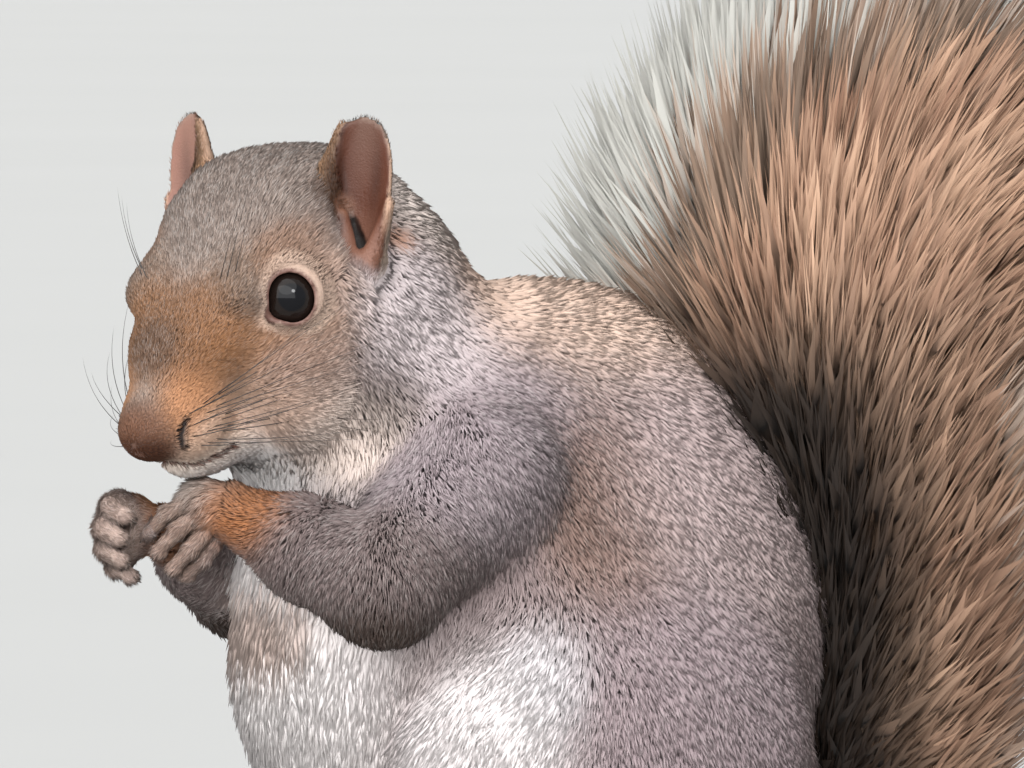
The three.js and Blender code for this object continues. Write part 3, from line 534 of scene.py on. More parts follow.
def gridField():
    lines = [gridLine(skinGrid[k]) for k in "xyz"]
    lines[2] = np.concatenate([[-0.9, -0.3], np.arange(0.35, 9, 0.65), lines[2]])
    value = np.full([len(v) for v in lines], farAway, np.float32)
    size, reach = skinGrid["brick"], skinGrid["reach"]
    for i in range(0, len(lines[0]), size):
        for j in range(0, len(lines[1]), size):
            for k in range(0, len(lines[2]), size):
                x, y, z = (v[n:n + size].astype(np.float32) for v, n in zip(lines, (i, j, k)))
                box = (np.array([x[0], y[0], z[0]]) - reach, np.array([x[-1], y[-1], z[-1]]) + reach)
                found = fieldOf(x[:, None, None], y[None, :, None], z[None, None, :], 1.0, box)
                if found is not None:
                    value[i:i + size, j:j + size, k:k + size] = found
    value = np.maximum(value, (skinGrid["floor"] - lines[2])[None, None, :].astype(np.float32))
    return lines, value


def surfaceNets(lines, value):
    # one point in each cell that the surface crosses, at the mean of the crossings on its edges
    inside = value < 0
    corners = [(a, b, c) for a in (0, 1) for b in (0, 1) for c in (0, 1)]
    shape = [n - 1 for n in value.shape]
    count = np.zeros(shape, np.int8)
    for a, b, c in corners:
        count += inside[a:a + shape[0], b:b + shape[1], c:c + shape[2]]
    cells = np.argwhere((count > 0) & (count < 8))
    number = np.full(shape, -1, np.int64)
    number[tuple(cells.T)] = np.arange(len(cells))
    total, hits = np.zeros((len(cells), 3)), np.zeros(len(cells))
    at = {corner: cells + np.array(corner) for corner in corners}
    held = {c: value[tuple(at[c].T)].astype(float) for c in corners}
    for axis in range(3):
        for c in (c for c in corners if not c[axis]):
            d = tuple(1 if n == axis else c[n] for n in range(3))
            v0, v1 = held[c], held[d]
            cross = (v0 < 0) != (v1 < 0)
            t = np.where(cross, v0 / np.where(cross, v0 - v1, 1), 0)
            for n in range(3):
                start, end = lines[n][at[c][:, n]], lines[n][at[d][:, n]]
                total[:, n] += np.where(cross, start + (end - start) * t, 0)
            hits += cross
    # one quad for each grid edge that the surface crosses
    quads = []
    for axis in range(3):
        a = [slice(1, n - 1) for n in value.shape]
        a[axis] = slice(0, value.shape[axis] - 1)
        b = list(a)
        b[axis] = slice(1, value.shape[axis])
        here, there = inside[tuple(a)], inside[tuple(b)]
        spots = np.argwhere(here != there)
        out = here[tuple(spots.T)]
        base = spots + np.array([0 if n == axis else 1 for n in range(3)])
        ring = []
        for du, dv in ((0, 0), (-1, 0), (-1, -1), (0, -1)):
            step = np.zeros(3, int)
            step[(axis + 1) % 3], step[(axis + 2) % 3] = du, dv
            ring.append(number[tuple((base + step).T)])
        ring = np.stack(ring, 1)
        ring[~out] = ring[~out][:, ::-1]
        quads.append(ring)
    return total / hits[:, None], np.concatenate(quads)


def settle(points, rounds=2):
    # moves the corners on to the exact surface, except on the sole
    for _ in range(rounds):
        gap = fieldOf(*points.T, 1.0)
        slope = slopeOf(points, 1.0)
        steep = np.maximum((slope ** 2).sum(1), 0.2)
        move = slope * (np.clip(gap, -0.4, 0.4) / steep)[:, None]
        points = points - np.where(points[:, 2:3] < skinGrid["floor"] + 0.3, 0, move)
    points[:, 2] = np.maximum(points[:, 2], skinGrid["floor"])
    return points


def buildSkin():
    lines, value = gridField()
    points, quads = surfaceNets(lines, value)
    points = settle(points)
    print("skin:", value.shape, "field gives", len(quads), "quads")
    return points, quads


regionNames = ["trunk", "haunch", "tail", "head", "arm", "hand", "foot", "ear"]


def regionGaps(points, share=1.0):
    # distance to each part of the body, a column for each name
    gaps = np.full((len(points), len(regionNames)), 1e3)
    for group in bodyGroups:
        column = regionNames.index(group["name"])
        gaps[:, column] = np.minimum(gaps[:, column], groupDistance(group, *points.T, share))
    return gaps


def shareOf(gaps, names, soft):
    columns = [regionNames.index(name) for name in names]
    own, rest = gaps[:, columns].min(1), np.delete(gaps, columns, 1).min(1)
    return 1 / (1 + np.exp(np.clip((own - rest) / soft, -30, 30)))


def toHead(points):
    return (points - noseTip) @ headAxes


combPlan = [  # place and lie of the hair, for the left side and mirrored
    ((0, -30, 134), (0, 0.9, -0.35)), ((22, -34, 112), (0.05, 0.55, -0.75)), ((0, 8, 119), (0, 1, -0.12)),
    ((28, -12, 100), (0.15, 0.42, -0.85)), ((24, 15, 106), (0.28, 0.66, -0.62)),
    ((0, 44, 96), (0, 0.62, -0.75)), ((37, -6, 84), (0.1, 0.3, -0.95)), ((36, 10, 80), (0.1, 0.42, -0.9)),
    ((24, 44, 84), (0.1, 0.5, -0.85)), ((0, 57, 60), (0, 0.1, -1)), ((44, 6, 60), (0.08, 0.28, -0.95)),
    ((45, 18, 38), (0, 0.1, -1)), ((34, 40, 40), (0.1, 0.3, -0.95)), ((42, -14, 52), (-0.25, -0.45, -0.85)),
    ((38, -28, 36), (-0.2, -0.25, -0.95)), ((40, 0, 14), (0.1, -0.35, -0.9)), ((0, -50, 84), (0, -0.2, -1)),
    ((20, -42, 74), (0, -0.1, -1)), ((0, -50, 58), (0, 0.1, -1)), ((20, -40, 46), (-0.15, -0.05, -1)),
    ((0, -44, 30), (0, 0.3, -0.95)), ((16, -20, 14), (0.1, 0.3, -0.9)), ((0, 57, 22), (0, 0.5, -0.85)),
    ((24, 50, 14), (0.2, 0.5, -0.8)), ((14, -60, 92), (-0.1, 0.3, -0.95)),
]
armComb = {"along": 0.35, "down": 0.95, "wristFrom": 0.55, "wristBy": 0.4, "upper": (0.1, 0.25, -0.95)}


def combedTrunk(points):
    total = np.zeros_like(points)
    for place, lie in combPlan:
        for way in (1, -1):
            mirror = np.array([way, 1, 1])
            gap = ((points - np.array(place, float) * mirror) ** 2).sum(1)
            total += unit(lie) * mirror * (1 / (gap + 30) ** 2)[:, None]
    return unit(total)


def combedHead(points):
    local = toHead(points)
    away = local - np.array([0, -2.0, -3.0])
    away[:, 1] *= 1.25
    # under the jaw and on the cheeks the hair sweeps back and down
    low = np.clip((-local[:, 2] - 2) / 14, 0, 1)
    away = unit(away) + low[:, None] * np.array([0, 0.5, -0.35])
    return away @ headAxes.T


def armJoints(side):
    return [np.array(armPlan[side][key], float) for key in ("shoulder", "elbow", "wrist")]


def armSideOf(points):
    gaps = []
    for side in (1, -1):
        a, b, c = armJoints(side)
        gaps.append(np.minimum(segmentGap(points, a, b)[0], segmentGap(points, b, c)[0]))
    return np.where(gaps[0] < gaps[1], 1, -1)


def segmentGap(points, a, b):
    d = b - a
    t = np.clip((points - a) @ d / (d @ d), 0, 1)
    return np.linalg.norm(points - a - t[:, None] * d, axis=1), t


def combedArm(points):
    # down on the upper arm, easing to along the forearm at the wrist
    out, sides = np.zeros_like(points), armSideOf(points)
    for side in (1, -1):
        pick = sides == side
        a, b, c = armJoints(side)
        gapUpper = segmentGap(points[pick], a, b)[0]
        gapFore, tFore = segmentGap(points[pick], b, c)
        fore = (1 / (1 + np.exp((gapFore - gapUpper) * 0.8)))[:, None]
        wristward = ramp(tFore, armComb["wristFrom"], armComb["wristBy"])
        foreLie = unit(c - b) * (armComb["along"] + wristward * 1.2)[:, None]
        foreLie = foreLie + np.array([0, 0, -1.0]) * (armComb["down"] * (1 - wristward * 0.85))[:, None]
        out[pick] = (1 - fore) * np.array(armComb["upper"]) + fore * foreLie
    return unit(out)


def combedHand(points):
    out, sides = np.zeros_like(points), armSideOf(points)
    for side in (1, -1):
        lines = [(armPlan[side]["wrist"], handPlan[side]["palm"][0])]
        for knuckle, joint, tip in handPlan[side]["fingers"]:
            lines += [(knuckle, joint), (joint, tip)]
        p = points[sides == side]
        total = np.zeros_like(p)
        for a, b in np.array(lines, float):
            total += unit(b - a) * (1 / (segmentGap(p, a, b)[0] ** 2 + 0.6) ** 2)[:, None]
        out[sides == side] = total
    return unit(out)


def combedFoot(points):
    return unit(np.stack([0.08 * np.where(points[:, 0] < 0, -1.0, 1.0), np.full(len(points), -1.0),
                          np.full(len(points), -0.1)], 1))


def combedEar(points):
    out = np.zeros_like(points)
    for side in (1, -1):
        foot, wide, facing, up = earSpace(side)
        pick = (points @ headLeft > noseTip @ headLeft) == (side > 0)
        t = earPlace((foot, wide, facing, up), *points[pick].T)[1]
        out[pick] = up + wide * np.clip(t, -1.2, 1.2)[:, None] * 0.35
    return unit(out)


combOf = {"head": combedHead, "arm": combedArm, "hand": combedHand, "foot": combedFoot, "ear": combedEar}


def combed(points, normals, regions):
    lie = np.zeros_like(points)
    for name in regionNames:
        pick = regions == regionNames.index(name)
        if pick.any():
            lie[pick] = combOf.get(name, combedTrunk)(points[pick])
    # the back of the head eases into the neck
    local = toHead(points)
    ease = ramp(local[:, 1], 44, 16) * (regions == regionNames.index("head"))
    lie = lie * (1 - ease[:, None]) + combedTrunk(points) * ease[:, None]
    lie -= normals * (lie * normals).sum(1, keepdims=True)
    return unit(lie + 1e-6)


def waves(points, seed, length, count=5):
    # a smooth wandering value about 0, with bumps about length across
    rng = np.random.default_rng(seed)
    total = np.zeros(len(points))
    for _ in range(count):
        way = unit(rng.normal(size=3)) * (2 * math.pi / (length * rng.uniform(0.7, 1.6)))
        total += np.sin(points @ way + rng.uniform(0, 6.28))
    return total / math.sqrt(count)


# Soft patches of colour, laid over each other in turn. The frame says where a patch may fall: body anywhere,
# foot the feet, head the head and ears, neck all but arms and feet, all four mirrored about the middle; left
# and right one arm and its hand. Tips says how strongly the ends of single hairs differ from the tone.
everywhere = (999, 999, 999)
patches = [
    # frame, middle, half size, tone, strength, tips
    ("body", (0, 20, 60), everywhere, (142, 126, 125), 1.0, 0.5),
    # the spine's tan-brown hair, lightened by a painted sheen of back-lit hair
    ("body", (0, 22, 112), (25, 54, 20), (228, 198, 178), 0.95, 0.4),
    ("body", (31, -20, 98), (15, 17, 17), (160, 147, 151), 0.8, 0.5),
    ("body", (38, -12, 88), (9, 12, 12), (106, 92, 92), 0.65, 0.6),
    ("body", (36, 2, 82), (16, 13, 18), (124, 94, 76), 0.7, 0.5),
    ("body", (30, 30, 88), (20, 26, 26), (192, 172, 170), 0.85, 0.45),
    ("body", (42, 16, 46), (16, 26, 24), (170, 153, 157), 0.7, 0.5),
    ("body", (0, -48, 46), (32, 22, 42), (250, 243, 241), 1.0, 0.02),
    ("body", (16, -28, 10), (32, 24, 20), (240, 233, 230), 1.0, 0.05),
    # painted shade: brown shadow on the chest under the arms and hands
    ("body", (5, -51, 65), (13, 12, 7), (158, 124, 104), 0.7, 0.05),
    ("body", (41, -13, 56), (6.5, 8, 12), (204, 200, 202), 0.85, 0.1),
    ("body", (38, -22, 40), (12, 14, 20), (226, 219, 218), 0.9, 0.1),
    ("body", (0, 62, 22), (26, 16, 26), (120, 98, 84), 0.6, 0.8),
    ("foot", (28, -10, 5), everywhere, (150, 137, 128), 1.0, 0.6),
    ("foot", (29, -34, 5), (10, 20, 6), (158, 132, 112), 0.9, 0.4),
    # arms
    ("left", (0, 0, 0), everywhere, (121, 107, 105), 1.0, 0.7),
    ("right", (0, 0, 0), everywhere, (121, 107, 105), 1.0, 0.7),
    ("left", (33, -24, 90), (14, 15, 14), (160, 147, 151), 0.8, 0.5),
    # painted shade under each forearm and elbow, where the light from above does not reach
    ("left", (34, -42, 59), (18, 15, 8), (70, 56, 48), 0.85, 0.5),
    ("right", (-30, -44, 57), (18, 14, 8), (70, 56, 48), 0.85, 0.5),
    ("left", (17, -57, 82), (8.5, 8, 8), (160, 104, 64), 0.95, 0.25),
    ("right", (-6, -61, 79), (8, 7, 8), (160, 108, 70), 0.95, 0.25),
    ("left", (8.5, -65.5, 77), (5.2, 6, 9), (160, 134, 120), 0.95, 0.6),
    ("right", (0, -73, 76), (6.5, 6, 9), (188, 164, 152), 0.95, 0.6),
    # head
    ("head", (0, 40, 6), everywhere, (146, 131, 121), 1.0, 1.0),
    ("head", (0, 44, 24), (16, 20, 12), (134, 120, 112), 0.8, 1.0),
    ("head", (11, 25, 16), (7, 8, 5), (128, 106, 90), 0.7, 0.8),
    ("head", (4, 17, 10), (9, 10, 9), (136, 95, 63), 0.9, 0.7),
    ("head", (1, 12, 9), (3.4, 7, 4.2), (98, 78, 66), 0.75, 0.9),
    # the buff-orange fur of the muzzle's side, lightened further as a painted highlight
    ("head", (8, 10.5, 0), (6.4, 6.8, 6.4), (194, 140, 100), 0.92, 0.1),
    ("head", (12, 21, 5), (8, 8, 6), (160, 114, 78), 0.85, 0.6),
    ("head", (12.5, 17.5, -5), (6.5, 7.5, 5.5), (216, 170, 136), 0.9, 0.1),
    ("head", (18, 28, 1), (7, 8, 5), (146, 108, 80), 0.8, 0.4),
    ("head", (21, 38, 7), (6.5, 7, 8), (184, 146, 118), 0.85, 0.35),
    ("head", (16, 35, 16), (7, 7.5, 4), (146, 112, 90), 0.8, 0.4),
    ("head", (17, 26, -4), (8, 9, 6.5), (184, 156, 142), 0.8, 0.5),
    ("head", (11, 22, -12), (13, 12, 7), (240, 206, 186), 0.95, 0.05),
    ("head", (8.5, 12.5, -6.8), (8, 7.5, 4.6), (244, 206, 180), 0.95, 0.0),
    ("head", (3, 12, -12), (9, 10, 4.5), (244, 222, 204), 1.0, 0.0),
    ("neck", (20, 30, -15), (9, 11, 7), (222, 205, 194), 0.85, 0.3),
    ("neck", (0, 18, -18), (12, 20, 7.5), (250, 246, 244), 1.0, 0.0),
    ("neck", (28, 49, 0), (10, 14, 14), (206, 194, 195), 0.85, 0.45),
    ("neck", (26, 37, -12), (6.5, 6.5, 6.5), (104, 93, 88), 0.65, 0.8),
    # nose, a little darker below
    ("head", (0, 4, -2.4), (5.8, 5.0, 5.2), (116, 70, 42), 0.85, 0.1),
    ("head", (0.5, 1.9, -4.9), (5.8, 3.8, 3.2), (72, 40, 26), 0.85, 0.0),
    # the white tuft behind the ear and the rust spot beside it
    ("head", (14.8, 49.6, 19.6), (3.2, 5, 6), (66, 40, 26), 0.8, 0.4),
    ("neck", (14, 66, 10), (10, 9, 11), (228, 214, 205), 0.8, 0.15),
    ("neck", (22, 55, 10), (2.4, 2.6, 2.4), (172, 118, 84), 0.7, 0.1),
]


lidTones = {"ring": (232, 202, 182), "rim": (84, 50, 44)}


def fingerGap(points, side):
    # 1 where two fingers are about equally near, 0 on the back of a finger
    reach = []
    for finger in handPlan[side]["fingers"]:
        knuckle, joint, tip = np.array(finger, float)
        reach.append(np.minimum(segmentGap(points, knuckle, joint)[0], segmentGap(points, joint, tip)[0]))
    reach = np.sort(np.array(reach), axis=0)
    between = np.exp(-((reach[1] - reach[0]) / 0.75) ** 2)
    return between * ramp(reach[0], 2.6, -0.6)


def markingsAt(points, gaps):
    local, mirrored = toHead(points), points.copy()
    local[:, 0], mirrored[:, 0] = np.abs(local[:, 0]), np.abs(points[:, 0])
    places = {"head": local, "neck": local, "body": mirrored, "foot": mirrored}
    colour, grizzle = np.zeros_like(points), np.zeros(len(points))
    sides = armSideOf(points)
    arms, feet = shareOf(gaps, ("arm", "hand"), 1.2), shareOf(gaps, ("foot",), 1.0)
    allowed = {"body": np.ones(len(points)), "foot": feet, "head": shareOf(gaps, ("head", "ear"), 3.5),
               "neck": (1 - arms) * (1 - feet), "left": arms * (sides > 0), "right": arms * (sides < 0)}
    for space, centre, half, tone, strength, tips in patches:
        if half is everywhere:
            weight = allowed[space]
        else:
            gap = np.sqrt((((places.get(space, points) - np.array(centre)) / np.array(half)) ** 2).sum(1))
            weight = allowed[space] * strength / (1 + np.exp(np.clip((gap - 1) * 7, -30, 30)))
        tint(colour, linear(tone), weight)
        grizzle += (tips - grizzle) * weight
    for side in (1, -1):  # pale fur round the eye, then the dark rims of the lids
        rim = lidGap(points, side)
        behind = unit(points - eyeSpace(side)[0]) @ unit(headAxes @ np.array([0, 0.8, -0.6]))
        pale = np.clip(ramp(rim, 1.75, -0.3) * (0.75 + 0.3 * behind), 0, 1)
        tint(colour, linear(lidTones["ring"]), pale)
        grizzle *= 1 - pale
        dark = ramp(rim, 1.22, -0.1) * 0.9
        tint(colour, linear(lidTones["rim"]), dark)
    paintSlits(points, colour)
    # deep shade in the gaps between the fingers
    for side in (1, -1):
        near = (sides == side) & (arms > 0.5)
        if near.any():
            shade = fingerGap(points[near], side)
            colour[near] *= (1 - 0.8 * shade)[:, None]
            grizzle[near] *= 1 - shade
    return colour, grizzle


def lidGap(points, side):
    # 1 at the opening's edge, growing outward over the lids
    at, gaze, across, upward = eyeSpace(side)
    rel = points - at
    ring = np.sqrt((rel @ across / eyePlan["openWide"]) ** 2 + (rel @ upward / eyePlan["openTall"]) ** 2)
    corner = 1 + limbDistance(eyeCarving(side)["corner"], *points.T, 0) / eyePlan["openWide"]
    ring = np.where(rel @ gaze > 0, np.minimum(ring, corner), 9.0)
    return np.where(np.linalg.norm(rel, axis=1) < 14, ring, 9.0)


def foldEdge(climb):
    # where the furred fold on the ear's inner edge gives way to the bare cup
    return -0.28 - 0.67 * ramp(climb, 0.25, 0.7) ** 1.3


# tones of the upper and lower cup; light shines through the far one
earTones = {
    # upper and lower cup by side, as light shines through the far one, then the rest of the ear
    1: ((76, 38, 22), (120, 82, 66)), -1: ((138, 98, 84), (140, 104, 92)),
    "back": (150, 132, 118), "backFront": (86, 60, 44), "rim": (214, 176, 150), "fold": (140, 108, 82),
    "foldDark": (74, 50, 36), "root": (112, 76, 58), "rootPlace": (15.9, 51.3, 16.6),
}


def blendTones(first, second, share):
    return linear(first) * (1 - share) + linear(second) * share


def earPaint(points, colour, grizzle, gaps):
    # inside of the cup, back of the ear, fold and rim; returns how bare the skin is
    bare = np.zeros(len(points))
    belongs = gaps.argmin(1) == regionNames.index("ear")
    for side in (1, -1):
        near = belongs & ((toHead(points)[:, 0] > 0) == (side > 0))
        climb, t, _, over, _ = earPlace(earSpace(side), *points[near].T)
        inner = ramp(over, -0.2, 0.8)
        cup = blendTones(*earTones[side], ramp(climb, 0.45, -0.25)[:, None])
        band = np.exp(-((t - 0.45) / 0.22) ** 2 - ((climb - 0.6) / 0.25) ** 2)[:, None]
        cup = cup * (1 - 0.45 * band)
        edge = foldEdge(climb)
        # painted shadow of the fold's step: a dark line along the edge of the cup
        shade = np.exp(-((t - edge - 0.05) / 0.08) ** 2)[:, None]
        cup = cup * (1 - 0.55 * shade)
        front = ramp(t, -0.3, -0.2) * ramp(climb, 0.2, 0.2)
        back, backFront = linear(earTones["back"]), linear(earTones["backFront"])
        outside = back + (backFront - back) * front[:, None]
        mixed = outside * (1 - inner[:, None]) + cup * inner[:, None]
        rim = ramp(np.abs(t), 0.9, 0.1) * ramp(climb, 0.3, 0.2)
        mixed = mixed + (linear(earTones["rim"]) - mixed) * rim[:, None] * 0.8
        fold = np.clip((edge - t) / 0.06, 0, 1) * inner
        brown = np.clip((t - edge + 0.45) / 0.3, 0, 1) * ramp(climb, 0.95, -0.35)
        furred = blendTones(earTones["fold"], earTones["foldDark"], brown[:, None])
        mixed = mixed + (furred - mixed) * fold[:, None]
        ease = ramp(climb, 0.04, 0.12)
        colour[near] += (mixed - colour[near]) * ease[:, None]
        grizzle[near] += (0.5 * (1 - inner) * (1 - 0.6 * front) + 0.35 * fold - grizzle[near]) * ease
        bare[near] = inner * ease * (1 - fold)
        left, back, up = earTones["rootPlace"]
        gap = np.linalg.norm(points - headPoint(left * side, back, up), axis=1)
        near = ramp(gap, 2.6, -1.2)
        tint(colour, linear(earTones["root"]), near)
        grizzle *= 1 - near
    paintSlits(points, colour)
    return bare


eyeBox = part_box("eye_left")
eyeMiddle = np.array([(a + b) / 2 for a, b in zip(*eyeBox)]) * 1000
rowShift = eyeMiddle - headPoint(*eyePlan["place"])


def toRow(points):
    return (np.asarray(points, float) + rowShift) * 0.001


def newObject(name, data):
    made = bpy.data.objects.new(name, data)
    bpy.context.scene.collection.objects.link(made)
    return made


def makeMesh(name, points, faces, material, replaced=(), values=None, uv=None):
    mesh = bpy.data.meshes.new(name)
    faceLists = faces if isinstance(faces, list) else [faces]
    corners = np.concatenate([f.ravel() for f in faceLists]).astype(np.int32)
    sizes = np.concatenate([np.full(len(f), f.shape[1]) for f in faceLists])
    mesh.vertices.add(len(points))
    mesh.vertices.foreach_set("co", toRow(points).astype(np.float32).ravel())
    mesh.loops.add(len(corners))
    mesh.loops.foreach_set("vertex_index", corners)
    mesh.polygons.add(len(sizes))
    mesh.polygons.foreach_set("loop_start", (np.cumsum(sizes) - sizes).astype(np.int32))
    mesh.update(calc_edges=True)
    mesh.shade_smooth()
    for key, data in (values or {}).items():
        if key == "lay":
            layer = mesh.attributes.new(key, "FLOAT_VECTOR", "POINT")
            layer.data.foreach_set("vector", data.astype(np.float32).ravel())
        elif data.ndim == 2:
            layer = mesh.color_attributes.new(key, "FLOAT_COLOR", "POINT")
            rgba = np.concatenate([data, np.ones((len(data), 1))], 1)
            layer.data.foreach_set("color", rgba.astype(np.float32).ravel())
        else:
            layer = mesh.attributes.new(key, "FLOAT", "POINT")
            layer.data.foreach_set("value", data.astype(np.float32))
    if uv is not None:
        layer = mesh.uv_layers.new(name="OFBake")
        layer.data.foreach_set("uv", uv[corners].astype(np.float32).ravel())
    mesh.materials.append(material)
    piece = newObject(name, mesh)
    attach(piece, "root")
    if replaced:
        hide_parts(*replaced)


bakePatch = 0.003  # across one tuft's patch on the map


def longTufts(lines, widths, sideways, ridgeUp):
    # tapered locks with a ridge, closed at the root; lines: (n, rings + 2, 3) from the root to the tip,
    # widths: (n, rings), one for each ring between them
    n, rings = widths.shape
    w, middle = widths[:, :, None], lines[:, 1:-1]
    ring = np.empty((n, rings, 3, 3))
    ring[:, :, 0] = middle - sideways[:, None] * w / 2
    ring[:, :, 1] = middle + sideways[:, None] * w / 2
    ring[:, :, 2] = middle + ridgeUp[:, None] * w * 0.5
    points = np.concatenate([lines[:, :1], ring.reshape(n, rings * 3, 3), lines[:, -1:]], 1)
    count = rings * 3 + 2
    faces = []
    for a, b in ((1, 2), (2, 3), (3, 1)):
        faces.append((0, b, a))
        for r in range(rings - 1):
            p, q = r * 3 + a, r * 3 + b
            faces += [(p, q, q + 3), (p, q + 3, p + 3)]
        faces.append((count - 4 + a - 1, count - 4 + b - 1, count - 1))
    allFaces = np.arange(n)[:, None, None] * count + np.array(faces)
    steps = np.linspace(0, 1, rings + 2)
    along = np.concatenate([[0.0], np.repeat(steps[1:-1], 3), [1.0]])
    patchUv = [(0.5, 0.0)] + [(c, steps[r + 1]) for r in range(rings) for c in (0, 1, 0.5)] + [(0.5, 1.0)]
    return points.reshape(-1, 3), allFaces.reshape(-1, 3), along, np.array(patchUv) * bakePatch


def kiteTufts(start, middle, end, sideways, width):
    # closed slivers of four faces: a root, the two sides of the widest place and a tip
    half = sideways * width[:, None] / 2
    points = np.stack([start, middle - half, middle + half, end], 1).reshape(-1, 3)
    faces = np.arange(len(start))[:, None, None] * 4 + np.array([(0, 1, 2), (1, 3, 2), (1, 0, 3), (0, 2, 3)])
    patchUv = np.array([(0.5, 0.0), (0.0, 0.5), (1.0, 0.5), (0.5, 1.0)]) * bakePatch
    return points, faces.reshape(-1, 3), np.array([0.0, 0.5, 0.5, 1.0]), patchUv


def makeTufts(name, tufts, hair, part, slot, nodes=()):
    # hair: values for every tuft of the coat, part: which of them are in this piece
    points, faces, along, patchUv = tufts
    count = len(along)
    values = {key: np.repeat(hair[key][part], count, 0) for key in ("markings", "grizzle", "pick")}
    begin = hair["begin"][part][:, None]
    values["along"] = (begin + (1 - begin) * along).ravel()
    values["lay"] = np.repeat(hair["lay"][part], count, 0)
    # the coat's own map, fitted into the square with room for each tuft's patch
    flat = hair["flat"][part]
    low, high = flat.min(0), flat.max(0)
    places = 0.003 + (flat - low) / np.maximum(high - low, 1e-6) * (0.994 - bakePatch)
    uv = (places[:, None] + patchUv[None]).reshape(-1, 2)
    makeMesh(name, points, faces, materials[slot], nodes, values, uv)
    print(" ", name, len(faces), "triangles")


def unrolled(points, regions):
    # angle round each part's own axis, and distance along it
    angle, climb = np.zeros(len(points)), np.zeros(len(points))
    local = toHead(points)
    for name in regionNames:
        pick = regions == regionNames.index(name)
        p, q = points[pick], local[pick]
        if name in ("head", "ear"):
            angle[pick], climb[pick] = np.arctan2(q[:, 0], q[:, 2] + 2), q[:, 1]
        elif name == "foot":
            angle[pick], climb[pick] = np.arctan2(np.abs(p[:, 0]) - 28, p[:, 2] - 3), p[:, 1]
        elif name in ("arm", "hand"):
            angle[pick], climb[pick] = np.arctan2(p[:, 2] - 74, p[:, 1] + 48), p[:, 0]
        else:
            angle[pick], climb[pick] = np.arctan2(p[:, 0], 6 - p[:, 1]), p[:, 2]
    return np.stack([angle, climb], 1)


coatLook = {
    # region: tufts for each square millimetre, length over depth, shortest length, width over length,
    # jitter of the lie, height of the bend over the skin as a share of the depth, and the deepest coat
    "trunk": (4.3, 1.02, 0.7, 0.060, 0.17, 0.88, 7), "haunch": (4.3, 1.02, 0.7, 0.060, 0.17, 0.88, 7),
    "head": (17.0, 1.05, 0.55, 0.052, 0.16, 0.95, 4.2), "arm": (6.3, 1.3, 0.6, 0.054, 0.18, 0.95, 3.4),
    "hand": (13.0, 2.6, 0.9, 0.050, 0.16, 0.8, 1.0), "foot": (3.4, 1.4, 0.6, 0.08, 0.16, 0.8, 1.5),
    "ear": (9.0, 1.2, 0.6, 0.07, 0.22, 0.8, 0.7), "tail": (0.0, 1, 1, 0.1, 0.1, 0.5, 7),
}


def sampleRoots(points, quads, density, rng):
    # even random places over the skin, in the order of its faces, two triangles to a quad
    a, b, c, d = (points[quads[:, n]] for n in range(4))
    areas = [np.linalg.norm(np.cross(p - a, q - a), axis=1) / 2 for p, q in ((b, c), (c, d))]
    total = np.cumsum(np.stack([areas[0] * density, areas[1] * density], 1).ravel())
    count = int(total[-1])
    spots = (np.arange(count) + rng.random(count)) / count * total[-1]
    face = np.minimum(np.searchsorted(total, spots), len(total) - 1)
    quad, first = face // 2, face % 2 == 0
    u, v = rng.random(count), rng.random(count)
    flip = u + v > 1
    u[flip], v[flip] = 1 - u[flip], 1 - v[flip]
    second = np.where(first[:, None], b[quad], c[quad])
    third = np.where(first[:, None], c[quad], d[quad])
    return a[quad] + (second - a[quad]) * u[:, None] + (third - a[quad]) * v[:, None]


def noseGap(points):
    # distance from the middle of the bare leather at the tip of the nose
    return np.linalg.norm((toHead(points) - [0, 2.0, -4.2]) / [1.25, 1, 1], axis=1)


def coatDensity(middles):
    # finer hair towards the nose, none on its tip, in the eye's opening, in slits, in the ear or on the soles
    region = regionGaps(middles).argmin(1)
    density = np.array([coatLook[name][0] for name in regionNames])[region]
    local = toHead(middles)
    isHead = region == regionNames.index("head")
    density = np.where(isHead, density * np.clip(1.35 - local[:, 1] / 60, 0.6, 1.35), density)
    density *= ramp(noseGap(middles), 0.4, 1.0) * ramp(slitGap(middles)[0], 0.1, 0.3)
    for side in (1, -1):
        density[lidGap(middles, side) < 1.12] = 0
        density[np.linalg.norm(middles - eyeSpace(side)[0], axis=1) < eyePlan["radius"] + 0.3] = 0
        near = (region == regionNames.index("ear")) & ((local[:, 0] > 0) == (side > 0))
        climb, t, _, over, _ = earPlace(earSpace(side), *middles[near].T)
        inner = (over > 0.1) & (t < 0.93) & (t > foldEdge(climb)) & (climb > 0.13)
        density[near] *= np.where(inner, 0, 1.0)
    density[middles[:, 2] < 1.2] = 0
    return density


def growCoat(points, quads):
    rng = np.random.default_rng(11)
    roots = sampleRoots(points, quads, coatDensity(points[quads].mean(1)), rng)
    normals, gaps = unit(slopeOf(roots, 1.0)), regionGaps(roots)
    regions = gaps.argmin(1)
    depth = np.clip(-fieldOf(*roots.T, 0.0), 0.15, 7.0)
    lie = combed(roots, normals, regions)
    keep = (roots[:, 2] > 0.9) & (regions != regionNames.index("tail"))
    for number, name in enumerate(regionNames):
        print("  ", name, "tufts:", int((keep & (regions == number)).sum()))
    print("coat:", int(keep.sum()), "tufts on the skin")
    return [part[keep] for part in (roots, normals, regions, gaps, depth, lie)] + [rng]


coatSlots = {"hand": "paw_skin", "foot": "paw_skin", "ear": "ear_skin"}


